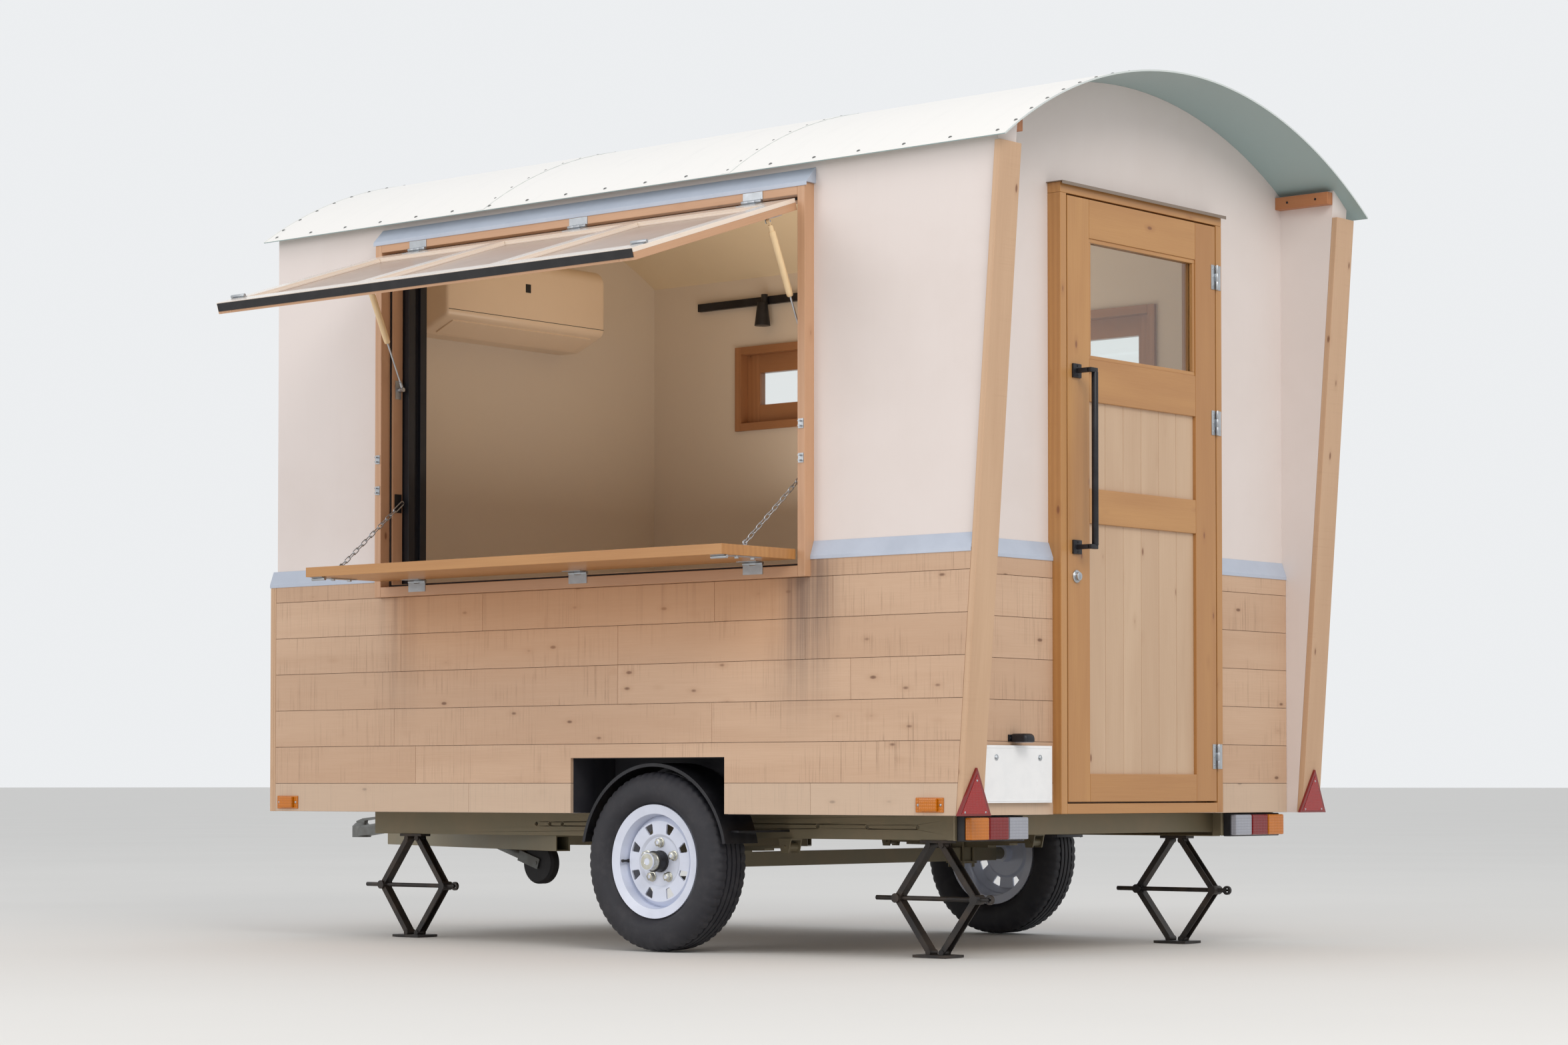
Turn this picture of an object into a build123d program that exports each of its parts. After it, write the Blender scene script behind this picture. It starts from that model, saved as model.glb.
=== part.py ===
from build123d import *
import os
from math import atan2, cos, degrees, hypot, radians, sin, sqrt

os.makedirs("parts", exist_ok=True)

# A small single-axle shop trailer with a bow roof, in millimetres.
# +X runs forward to the coupling, +Y to the hatch side, +Z up.
# The origin is the centre of the towing ball in the coupling head.

# Standing heights
hitch_height = 330
underside_height = 416
ground_z = -hitch_height
base_z = ground_z + underside_height

# Body box
body_width = 1880
body_length = 2826
hitch_to_front = 566
plank_t = 16
panel_t = 84
floor_t = 40
face_y = body_width / 2
wall_y = face_y - plank_t
inner_y = wall_y - panel_t
front_x = -hitch_to_front
rear_x = front_x - body_length
front_wall_x = front_x - plank_t
rear_wall_x = rear_x + plank_t
room_front_x = front_wall_x - panel_t
room_rear_x = rear_wall_x + panel_t
wall_low_z = base_z
seat = 0.3

# Wings: the side walls run on behind the end wall and lean back
wing_foot = 57
wing_lean = 140
edge_board_t = 20
eave_block_h = 45
eave_block_t = 30

# Roof bow
eave_height = 1893
roof_rise = 304
eave_overhang = 26
front_overhang = 12
rear_overhang = 35
skin_t = 3
ceiling_t = 45
roof_half = face_y + eave_overhang
crown_height = eave_height + roof_rise
roof_r = (roof_half**2 + roof_rise**2) / (2 * roof_rise)
crown_z = base_z + crown_height
arc_z = crown_z - roof_r
under_skin_r = roof_r - skin_t - seat

# Plank cladding and the sloping ledge over it
cladding_h = 750
first_plank = 92
plank_pitch = 119.5
groove = 3
ledge_h = 44
ledge_lip = 10
sheet_t = 2
corner_trim = 26
cladding_z = base_z + cladding_h

# Wheels and axle
axle_back = 1690
axle_x = front_x - axle_back
tyre_r = 272
tyre_w = 155
tyre_inset = 17
wheel_y = face_y - tyre_inset - tyre_w / 2
axle_z = ground_z + tyre_r
arch_front = 313
arch_rear = 313
arch_h = 169
fender_gap = 22
fender_t = 3
fender_r = tyre_r + fender_gap
box_side_t = 12

# Chassis
rail_h = 75
rail_w = 38
rail_t = 4.5
rail_inset = 300
rail_y = face_y - rail_inset
rail_rear = 122
rail_front = 187
rail_top_z = base_z
rail_low_z = base_z - rail_h
rail_rear_x = rear_x + rail_rear
rail_front_x = front_x - rail_front
leg_size = 50
leg_back_x = -1600
leg_back_inset = 25
leg_back_y = rail_y - leg_back_inset
leg_tip_x = -205
leg_tip_y = 33

# Hatch opening in the left wall
hatch_front_back = 556
hatch_w = 1751
hatch_sill = 722
hatch_top_gap = 91
casing_proud = 26
casing_t = 28
header_t = 34
sill_t = 32
stop_depth = 43
stop_t = 10
flap_t = 35
flap_gap = 6
stop_gap = 8
awning_angle = 72
counter_t = 30
counter_len = 325
counter_gap = 18
knuckle_r = 5
knuckle_gap = 0.3
hinge_w = 76
hinge_leaf_t = 2
hinge_leaf_w = 26
flap_hinge_spread = 706
hatch_front_x = front_x - hatch_front_back
hatch_rear_x = hatch_front_x - hatch_w
hatch_mid_x = hatch_rear_x + hatch_w / 2
hatch_head = eave_height - hatch_top_gap
casing_y = face_y + casing_proud
sill_z = base_z + hatch_sill
head_z = base_z + hatch_head

# Door in the end wall
door_w = 852
door_head = 1850
door_foot = 2
door_casing_t = 30
door_proud = 30
leaf_t = 36
leaf_gap = 5
stile_w = 110

# Side windows in the right wall
window_w = 500
window_h = 304
window_drop = 528
window_front_back = 754
window_rear_back = 747
window_low = eave_height - window_drop
window_centres = (front_x - window_front_back, rear_x + window_rear_back)


def wing_x(z):
    """Rear face of the leaning edge boards at a height."""
    return rear_x - wing_foot - wing_lean * (z - base_z) / eave_height


def under_roof(mode=Mode.INTERSECT):
    """Keep what lies under the roof sheet."""
    with Locations(Location((0, 0, arc_z), (0, 90, 0))):
        Cylinder(under_skin_r, 12000, mode=mode)


def save(part, name):
    part.label = name
    export_step(part, f"parts/{name}.step")


def slab(low, high, mode=Mode.ADD):
    """A box between two corners, inside the part being built."""
    size = [b - a for a, b in zip(low, high)]
    middle = [(a + b) / 2 for a, b in zip(low, high)]
    with Locations(tuple(middle)):
        return Box(*size, mode=mode)


def knuckles(axis_point, along, spans):
    """Hinge knuckles on one axis, at the stated spans along it."""
    turn = {"X": (0, 90, 0), "Z": (0, 0, 0)}[along]
    for low, high in spans:
        middle = Vector(*axis_point) + (Vector(1, 0, 0) if along == "X" else Vector(0, 0, 1)) * ((low + high) / 2)
        with Locations(Location(tuple(middle), turn)):
            Cylinder(knuckle_r, high - low)


third = hinge_w / 3
fixed_spans = ((-hinge_w / 2, -third / 2 - knuckle_gap), (third / 2 + knuckle_gap, hinge_w / 2))
moving_spans = ((-third / 2, third / 2),)


# Side walls: one panel each, from the front corner to the leaning edge
wing_top_z = arc_z + under_skin_r
side_outline = (
    (front_wall_x, base_z),
    (front_wall_x, wing_top_z),
    (wing_x(wing_top_z) + edge_board_t, wing_top_z),
    (wing_x(base_z) + edge_board_t, base_z),
)


def side_panel(outer, inner):
    """Side outline extruded between two depths on the left side, under the roof, with the wheel arch cut."""
    with BuildSketch(Plane.XZ.offset(-outer)) as outline:
        Polygon(*side_outline, align=None)
    extrude(outline.sketch, amount=outer - inner)
    under_roof()
    cut_arch(outer, inner)


def cut_arch(outer, inner):
    slab(
        (axle_x - arch_rear, inner - 1, base_z - 1),
        (axle_x + arch_front, outer + 1, base_z + arch_h),
        Mode.SUBTRACT,
    )


with BuildPart() as side_wall_left:
    side_panel(wall_y, inner_y)
    slab(
        (hatch_rear_x - casing_t, inner_y - 1, sill_z - sill_t),
        (hatch_front_x + casing_t, wall_y + 1, head_z + header_t),
        Mode.SUBTRACT,
    )
save(side_wall_left.part, "side_wall_left")

with BuildPart() as side_wall_right:
    side_panel(wall_y, inner_y)
    for x in window_centres:
        slab(
            (x - window_w / 2, inner_y - 1, base_z + window_low),
            (x + window_w / 2, wall_y + 1, base_z + window_low + window_h),
            Mode.SUBTRACT,
        )
    mirror(about=Plane.XZ, mode=Mode.REPLACE)
save(side_wall_right.part, "side_wall_right")

# End walls stand between the side walls
with BuildPart() as front_wall:
    slab((room_front_x, -inner_y, base_z), (front_wall_x, inner_y, crown_z))
    under_roof()
save(front_wall.part, "front_wall")

with BuildPart() as rear_wall:
    slab((rear_wall_x, -inner_y, base_z), (room_rear_x, inner_y, crown_z))
    under_roof()
    slab(
        (rear_wall_x - 1, -door_w / 2, base_z - 1),
        (room_rear_x + 1, door_w / 2, base_z + door_head),
        Mode.SUBTRACT,
    )
save(rear_wall.part, "rear_wall")

# Floor, notched for the wheel boxes
box_inner_y = wheel_y - tyre_w / 2 - 30
with BuildPart() as floor_deck:
    slab((room_rear_x, -inner_y, base_z), (room_front_x, inner_y, base_z + floor_t))
    notch_y = box_inner_y - box_side_t - seat
    for side in (-1, 1):
        low_y, high_y = sorted((side * notch_y, side * (inner_y + 1)))
        slab(
            (axle_x - arch_rear - box_side_t - seat, low_y, base_z - 1),
            (axle_x + arch_front + box_side_t + seat, high_y, base_z + floor_t + 1),
            Mode.SUBTRACT,
        )
save(floor_deck.part, "floor_deck")

# Wheel boxes in the notches, open to the arch
with BuildPart() as wheel_boxes:
    slab(
        (axle_x - arch_rear - box_side_t, box_inner_y - box_side_t, base_z),
        (axle_x + arch_front + box_side_t, inner_y, base_z + arch_h + box_side_t),
    )
    slab(
        (axle_x - arch_rear, box_inner_y, base_z - 1),
        (axle_x + arch_front, inner_y + 1, base_z + arch_h),
        Mode.SUBTRACT,
    )
    mirror(about=Plane.XZ)
save(wheel_boxes.part, "wheel_boxes")

# Roof: a lined bow between the walls and the sheet over all
with BuildPart() as roof_panel:
    slab((room_rear_x, -inner_y, base_z + eave_height - 200), (room_front_x, inner_y, crown_z))
    under_roof()
    with Locations(Location((0, 0, arc_z), (0, 90, 0))):
        Cylinder(under_skin_r - ceiling_t, 12000, mode=Mode.SUBTRACT)
save(roof_panel.part, "roof_panel")

roof_rear_x = wing_x(base_z + eave_height) - rear_overhang
roof_front_x = front_x + front_overhang
eave_angle = degrees(atan2(roof_half, roof_r - roof_rise))
with BuildPart() as roof_skin:
    with BuildSketch(Plane.YZ.offset(roof_rear_x)):
        with BuildLine():
            outer = CenterArc((0, arc_z), roof_r, 90 - eave_angle, 2 * eave_angle)
            inner = CenterArc((0, arc_z), roof_r - skin_t, 90 - eave_angle, 2 * eave_angle)
            Line(outer @ 0, inner @ 0)
            Line(outer @ 1, inner @ 1)
        make_face()
    extrude(amount=roof_front_x - roof_rear_x)
save(roof_skin.part, "roof_skin")

# Boards on the leaning edges and the front corners, and the eave blocks in the porch
with BuildPart() as edge_boards:
    with BuildSketch(Plane.XZ.offset(-face_y)):
        with BuildLine():
            Polyline(
                (wing_x(base_z), base_z),
                (wing_x(base_z) + edge_board_t, base_z),
                (wing_x(wing_top_z) + edge_board_t, wing_top_z),
                (wing_x(wing_top_z), wing_top_z),
                close=True,
            )
        make_face()
    extrude(amount=face_y - inner_y)
    under_roof()
    slab((front_x - corner_trim, face_y - corner_trim, base_z), (front_x, face_y, cladding_z))
    slab((front_x - corner_trim - 1, face_y - corner_trim - 1, base_z - 1), (front_wall_x, wall_y, cladding_z + 1), Mode.SUBTRACT)
    mirror(about=Plane.XZ)
save(edge_boards.part, "edge_boards")

block_low_z = arc_z + sqrt(under_skin_r**2 - inner_y**2) - eave_block_h
with BuildPart() as eave_blocks:
    slab(
        (wing_x(block_low_z) + edge_board_t, inner_y - eave_block_t, block_low_z),
        (rear_wall_x, inner_y, crown_z),
    )
    under_roof()
    mirror(about=Plane.XZ)
save(eave_blocks.part, "eave_blocks")


# Cladding: grooved planks
def plank_section(wall, face):
    """Plank section in local (depth, height), with a V groove at each joint."""
    points = [(wall, base_z), (face, base_z)]
    out = 1 if face > wall else -1
    joint = base_z + first_plank
    while joint < cladding_z - groove:
        points += [(face, joint - groove), (face - out * groove, joint), (face, joint + groove)]
        joint += plank_pitch
    points += [(face, cladding_z), (wall, cladding_z)]
    Polygon(*points, align=None)


clad_outline = (
    (front_x - corner_trim, base_z - 1),
    (front_x - corner_trim, cladding_z + 1),
    (wing_x(cladding_z + 1) + edge_board_t, cladding_z + 1),
    (wing_x(base_z - 1) + edge_board_t, base_z - 1),
)


def side_cladding():
    with BuildSketch(Plane.YZ.offset(rear_x - 400)) as section:
        plank_section(wall_y, face_y)
    extrude(section.sketch, amount=body_length + 400)
    with BuildSketch(Plane.XZ.offset(-face_y - 1)) as outline:
        Polygon(*clad_outline, align=None)
    extrude(outline.sketch, amount=plank_t + 2, mode=Mode.INTERSECT)
    cut_arch(face_y, wall_y)


with BuildPart() as cladding_left:
    side_cladding()
    slab(
        (hatch_rear_x - casing_t, wall_y - 1, sill_z - sill_t),
        (hatch_front_x + casing_t, face_y + 1, cladding_z + 1),
        Mode.SUBTRACT,
    )
save(cladding_left.part, "cladding_left")

with BuildPart() as cladding_right:
    side_cladding()
    mirror(about=Plane.XZ, mode=Mode.REPLACE)
save(cladding_right.part, "cladding_right")

with BuildPart() as cladding_ends:
    with BuildSketch(Plane.XZ.offset(-(face_y - corner_trim))):
        plank_section(front_wall_x, front_x)
    extrude(amount=2 * (face_y - corner_trim))
    with BuildSketch(Plane.XZ.offset(-inner_y)):
        plank_section(rear_wall_x, rear_x)
    extrude(amount=2 * inner_y)
    slab(
        (rear_x - 1, -door_w / 2, base_z - 1),
        (rear_wall_x + 1, door_w / 2, cladding_z + 1),
        Mode.SUBTRACT,
    )
save(cladding_ends.part, "cladding_ends")



# Section of the ledge flashing
def ledge_section(wall, face):
    """Sloping ledge in local (depth, height): foot on the wall, lip over the planks."""
    out = 1 if face > wall else -1
    Polygon(
        (wall, cladding_z),
        (wall, cladding_z + ledge_h),
        (wall + out * sheet_t, cladding_z + ledge_h),
        (face + out * (seat + sheet_t), cladding_z),
        (face + out * (seat + sheet_t), cladding_z - ledge_lip),
        (face + out * seat, cladding_z - ledge_lip),
        (face + out * seat, cladding_z),
        align=None,
    )


# Hatch casing: a box of boards with a stop inside it
with BuildPart() as hatch_casing:
    slab(
        (hatch_rear_x - casing_t, inner_y, sill_z - sill_t),
        (hatch_front_x + casing_t, casing_y, head_z + header_t),
    )
    slab((hatch_rear_x, inner_y - 1, sill_z), (hatch_front_x, casing_y + 1, head_z), Mode.SUBTRACT)
    stop_y = casing_y - flap_t - stop_gap
    slab((hatch_rear_x, stop_y - stop_depth, sill_z), (hatch_front_x, stop_y, head_z))
    slab(
        (hatch_rear_x + stop_t, inner_y - 1, sill_z + stop_t),
        (hatch_front_x - stop_t, casing_y + 1, head_z - stop_t),
        Mode.SUBTRACT,
    )
save(hatch_casing.part, "hatch_casing")

# Flashings: the sloping ledge over the cladding, and those over the hatch header and the door
header_slope = 46
ledge_rear_x = wing_x(cladding_z) + edge_board_t
with BuildPart() as flashings:
    with BuildSketch(Plane.YZ.offset(ledge_rear_x)):
        ledge_section(wall_y, face_y)
    extrude(amount=front_x + seat + sheet_t - ledge_rear_x)
    mirror(about=Plane.XZ)
    slab(
        (hatch_rear_x - casing_t, wall_y - 1, sill_z - sill_t),
        (hatch_front_x + casing_t, face_y + 10, head_z),
        Mode.SUBTRACT,
    )
    with BuildSketch(Plane.XZ.offset(-wall_y)):
        ledge_section(front_wall_x, front_x)
    extrude(amount=2 * wall_y)
    for side in (-1, 1):
        start = inner_y if side > 0 else -door_w / 2
        with BuildSketch(Plane.XZ.offset(-start)):
            ledge_section(rear_wall_x, rear_x)
        extrude(amount=inner_y - door_w / 2)
    header_z = head_z + header_t
    with BuildSketch(Plane.YZ.offset(hatch_rear_x - casing_t - 8)):
        with BuildLine():
            Polyline(
                (wall_y, header_z),
                (wall_y, header_z + header_slope),
                (wall_y + sheet_t, header_z + header_slope),
                (casing_y + seat + sheet_t, header_z + sheet_t),
                (casing_y + seat + sheet_t, header_z - ledge_lip),
                (casing_y + seat, header_z - ledge_lip),
                (casing_y + seat, header_z),
                close=True,
            )
        make_face()
    extrude(amount=hatch_w + 2 * casing_t + 16)
    door_top_z = base_z + door_head
    drip_x = rear_x - door_proud - 14
    slab((drip_x, -door_w / 2 - 8, door_top_z), (rear_wall_x, door_w / 2 + 8, door_top_z + sheet_t))
    slab((drip_x, -door_w / 2 - 8, door_top_z - 8), (drip_x + sheet_t, door_w / 2 + 8, door_top_z))
save(flashings.part, "flashings")

# Screen cassette at the front jamb
cassette_w = 34
cassette_d = 80
with BuildPart() as screen_cassette:
    high_y = casing_y - flap_t - stop_gap - stop_depth - 4
    slab(
        (hatch_front_x - cassette_w, high_y - cassette_d, sill_z),
        (hatch_front_x, high_y, head_z),
    )
    slab(
        (hatch_front_x - cassette_w - 1, high_y - 52, sill_z + 20),
        (hatch_front_x - cassette_w + 12, high_y - 28, head_z - 20),
        Mode.SUBTRACT,
    )
save(screen_cassette.part, "screen_cassette")

# Awning flap, hinged at the header and held out by two gas struts
hinge_drop = 5
hinge_out = 6
awning_y = casing_y + hinge_out
awning_z = head_z - hinge_drop
counter_drop = 6
counter_edge = 1
counter_low_z = sill_z + counter_gap
counter_axis_z = counter_low_z - counter_drop
awning_len = awning_z - flap_gap - counter_axis_z - counter_edge - counter_len
flap_w = hatch_w - 2 * flap_gap
flap_rear_x = hatch_rear_x + flap_gap
flap_stile_w = 60
flap_rail_w = 70
bay_count = 3
awning_drop = 90 - awning_angle
# The open flap lies in this plane, through the hinge axis: x along the trailer, y in towards the hinge
awning_plane = Plane(
    origin=(flap_rear_x, awning_y, awning_z),
    x_dir=(1, 0, 0),
    z_dir=(0, sin(radians(awning_drop)), cos(radians(awning_drop))),
)
flap_face = awning_plane.offset(-hinge_out)
bay_w = (flap_w - (bay_count + 1) * flap_stile_w) / bay_count
bay_centres = [flap_stile_w + bay_w / 2 + i * (bay_w + flap_stile_w) for i in range(bay_count)]
infill_t = 9
with BuildPart() as awning_frame:
    with BuildSketch(flap_face.offset(-flap_t)):
        with Locations((flap_w / 2, awning_len / 2)):
            Rectangle(flap_w, awning_len)
        for x in bay_centres:
            with Locations((x, awning_len / 2)):
                Rectangle(bay_w, awning_len - 2 * flap_rail_w, mode=Mode.SUBTRACT)
    extrude(amount=flap_t)
save(awning_frame.part, "awning_frame")

with BuildPart() as awning_panels:
    with BuildSketch(flap_face.offset(-flap_t / 2 - infill_t / 2)):
        for x in bay_centres:
            with Locations((x, awning_len / 2)):
                Rectangle(bay_w, awning_len - 2 * flap_rail_w)
    extrude(amount=infill_t)
save(awning_panels.part, "awning_panels")

# Gas struts: cylinder on the flap, rod to the jamb
strut_inset = 28
strut_top_out = 94
strut_top_drop = 87
strut_foot_in = 68
strut_foot_drop = 439
strut_top_y = casing_y + strut_top_out
strut_top_z = head_z - strut_top_drop
strut_foot_y = casing_y - strut_foot_in
strut_foot_z = head_z - strut_foot_drop
strut_cyl_r = 7.5
strut_rod_r = 3
strut_stroke = 62
strut_hold = 40
strut_cyl_len = 226
strut_len = hypot(strut_top_y - strut_foot_y, strut_top_z - strut_foot_z)
strut_dir = ((strut_foot_y - strut_top_y) / strut_len, (strut_foot_z - strut_top_z) / strut_len)
eye_r = 7
eye_t = 10
pin_r = 3
pin_fit = 0.1


def strut_plane(x, along):
    """Plane across the strut, a distance down from its top pin."""
    return Plane(
        origin=(x, strut_top_y + strut_dir[0] * along, strut_top_z + strut_dir[1] * along),
        x_dir=(1, 0, 0),
        z_dir=(0, strut_dir[0], strut_dir[1]),
    )


strut_places = (("rear", hatch_rear_x + strut_inset), ("front", hatch_front_x - strut_inset))
for place, x in strut_places:
    with BuildPart() as strut_cylinder:
        with BuildSketch(strut_plane(x, eye_r + 5)):
            Circle(strut_cyl_r)
        extrude(amount=strut_cyl_len - eye_r - 5)
        bore_len = strut_hold + strut_stroke + 5
        with BuildSketch(strut_plane(x, strut_cyl_len - bore_len)):
            Circle(strut_rod_r + 0.5)
        extrude(amount=bore_len + 5, mode=Mode.SUBTRACT)
        with Locations(Location((x, strut_top_y, strut_top_z), (0, 90, 0))):
            Cylinder(eye_r, eye_t)
        with BuildSketch(strut_plane(x, 0)):
            Circle(strut_rod_r)
        extrude(amount=eye_r + 6)
        with Locations(Location((x, strut_top_y, strut_top_z), (0, 90, 0))):
            Cylinder(pin_r + pin_fit, 60, mode=Mode.SUBTRACT)
    save(strut_cylinder.part, f"strut_cylinder_{place}")

    with BuildPart() as strut_rod:
        with BuildSketch(strut_plane(x, strut_cyl_len - strut_hold)):
            Circle(strut_rod_r)
        extrude(amount=strut_len - strut_cyl_len + strut_hold)
        with Locations(Location((x, strut_foot_y, strut_foot_z), (0, 90, 0))):
            Cylinder(eye_r, eye_t)
    save(strut_rod.part, f"strut_rod_{place}")

# Fittings on the flap: strut brackets, hinge leaves and bolts at the outer corners
pad_t = 2
bolt_r = 5
bolt_len = 60
bolt_back = 68
hinge_places = (hatch_mid_x - flap_hinge_spread, hatch_mid_x, hatch_mid_x + flap_hinge_spread)
tongue = knuckle_r + 1
with BuildPart() as awning_hardware:
    for place, x in strut_places:
        away = -1 if place == "rear" else 1
        pin_point = Vector(x, strut_top_y, strut_top_z)
        foot = Plane(origin=pin_point, x_dir=(1, 0, 0), z_dir=awning_plane.z_dir)
        rise = -hinge_out - flap_t - awning_plane.to_local_coords(pin_point).Z
        with BuildSketch(foot.offset(rise - pad_t)):
            with Locations((0, -14)):
                Rectangle(44, 44)
        extrude(amount=pad_t)
        with BuildSketch(foot.offset(-2 * pin_r)):
            with Locations((-away * (eye_t / 2 + 1 + pad_t / 2), 0)):
                Rectangle(pad_t, 16)
        extrude(amount=rise + 2 * pin_r - pad_t)
        pin_low = x - away * (eye_t / 2 + 1 + pad_t / 2)
        pin_high = x + away * eye_t / 2
        with Locations(Location(((pin_low + pin_high) / 2, strut_top_y, strut_top_z), (0, 90, 0))):
            Cylinder(pin_r, abs(pin_high - pin_low))
        end = 0 if place == "rear" else flap_w
        with BuildSketch(flap_face):
            with Locations((end - away * (bolt_len / 2 + 4), awning_len - bolt_back)):
                Rectangle(bolt_len - 10, 22)
        extrude(amount=hinge_leaf_t)
        bolt_at = flap_face.from_local_coords(Vector(end - away * (bolt_len / 2 + 2), awning_len - bolt_back, bolt_r + 1))
        with Locations(Location(tuple(bolt_at), (0, 90, 0))):
            Cylinder(bolt_r, bolt_len)
    for x in hinge_places:
        with BuildSketch(flap_face):
            with Locations((x - flap_rear_x, tongue + hinge_leaf_w / 2)):
                Rectangle(hinge_w, hinge_leaf_w)
            with Locations((x - flap_rear_x, tongue / 2)):
                Rectangle(third, tongue)
        extrude(amount=hinge_leaf_t)
        knuckles((x, awning_y, awning_z), "X", moving_spans)
save(awning_hardware.part, "awning_hardware")

# Counter flap, hinged over the sill
counter_y = casing_y + counter_edge
counter_top_z = counter_low_z + counter_t
with BuildPart() as counter_top:
    slab(
        (flap_rear_x, counter_y, counter_low_z),
        (flap_rear_x + flap_w, counter_y + counter_len, counter_top_z),
    )
    fillet(counter_top.edges().filter_by(Axis.X), 3)
save(counter_top.part, "counter_top")

# Stay chains, from an eye on the counter to a pin on the jamb, with the counter's other fittings
chain_inset = 30
chain_eye_out = 197
chain_hook_in = 66
chain_hook_rise = 273
chain_eye_y = counter_y + chain_eye_out
chain_hook_y = casing_y - chain_hook_in
chain_hook_z = sill_z + chain_hook_rise
eye_ring_r = 9
eye_hole_r = 5
link_wire = 3
link_w = 15
link_count = 13
hook_len = 52
hook_w = 16
hook_wire = 4
hook_pin_r = hook_w / 2 - hook_wire - seat
chain_foot = Vector(0, chain_eye_y, counter_top_z + eye_ring_r)
chain_head = Vector(0, chain_hook_y, chain_hook_z)
chain_len = (chain_head - chain_foot).length
chain_dir = (chain_head - chain_foot).normalized()
hook_start = chain_len - hook_len + hook_w / 2
first_link = eye_hole_r - 2 * seat - link_wire
link_step = (hook_start + hook_wire - link_wire - first_link) / link_count
link_len = link_step + 2 * link_wire
strap_w = 30
strap_len = 110
strap_t = 3


def chain_plane(x, along, upright):
    """Plane of a link at a distance along the chain: upright links stand across the trailer."""
    middle = chain_foot + chain_dir * along
    across = Vector(1, 0, 0) if upright else Vector(1, 0, 0).cross(chain_dir)
    return Plane(origin=(x, middle.Y, middle.Z), x_dir=chain_dir, z_dir=across)


def ring_link(plane, length, width, wire):
    """A long link with cut corners, lying in a plane."""
    with BuildSketch(plane.offset(-wire / 2)) as ring:
        for grow, mode in ((0, Mode.ADD), (2 * wire, Mode.SUBTRACT)):
            with BuildSketch(mode=Mode.PRIVATE) as outline:
                Rectangle(length - grow, width - grow)
                chamfer(outline.vertices(), (width - grow) / 3)
            add(outline.sketch, mode=mode)
    extrude(ring.sketch, amount=wire)


with BuildPart() as stay_chains:
    for x in (hatch_rear_x + chain_inset, hatch_front_x - chain_inset):
        for i in range(link_count):
            link = chain_plane(x, first_link + link_len / 2 + i * link_step, i % 2 == 1)
            ring_link(link, link_len, link_w, link_wire)
        hook = chain_plane(x, hook_start + hook_len / 2, True)
        ring_link(hook, hook_len, hook_w, hook_wire)
save(stay_chains.part, "stay_chains")

with BuildPart() as counter_hardware:
    for x, away in ((hatch_rear_x + chain_inset, -1), (hatch_front_x - chain_inset, 1)):
        slab((x - 8, chain_eye_y - 12, counter_top_z), (x + 8, chain_eye_y + 12, counter_top_z + hinge_leaf_t))
        with BuildSketch(Plane.YZ.offset(x - link_wire / 2)):
            with Locations((chain_eye_y, counter_top_z + eye_ring_r)):
                Circle(eye_ring_r)
                Circle(eye_hole_r, mode=Mode.SUBTRACT)
        extrude(amount=link_wire)
        slab(
            (x - strap_w / 2, chain_eye_y - strap_len / 2, counter_low_z - strap_t),
            (x + strap_w / 2, chain_eye_y + strap_len / 2, counter_low_z),
        )
        for y in (chain_eye_y - 35, chain_eye_y + 35):
            with Locations((x, y, counter_low_z - strap_t - 2.5)):
                Cylinder(7, 5)
        end = flap_rear_x if away < 0 else flap_rear_x + flap_w
        bolt_x = end - away * (bolt_len / 2 + 2)
        bolt_y = counter_y + counter_len - 26
        slab(
            (bolt_x - bolt_len / 2 + 5, bolt_y - 11, counter_low_z - hinge_leaf_t),
            (bolt_x + bolt_len / 2 - 5, bolt_y + 11, counter_low_z),
        )
        with Locations(Location((bolt_x, bolt_y, counter_low_z - bolt_r - 1), (0, 90, 0))):
            Cylinder(bolt_r, bolt_len)
    for x in hinge_places:
        slab(
            (x - hinge_w / 2, casing_y + tongue, counter_low_z - hinge_leaf_t),
            (x + hinge_w / 2, casing_y + tongue + hinge_leaf_w, counter_low_z),
        )
        slab((x - third / 2, casing_y, counter_low_z - hinge_leaf_t), (x + third / 2, casing_y + tongue, counter_low_z))
        knuckles((x, casing_y, counter_axis_z), "X", moving_spans)
save(counter_hardware.part, "counter_hardware")

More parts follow.
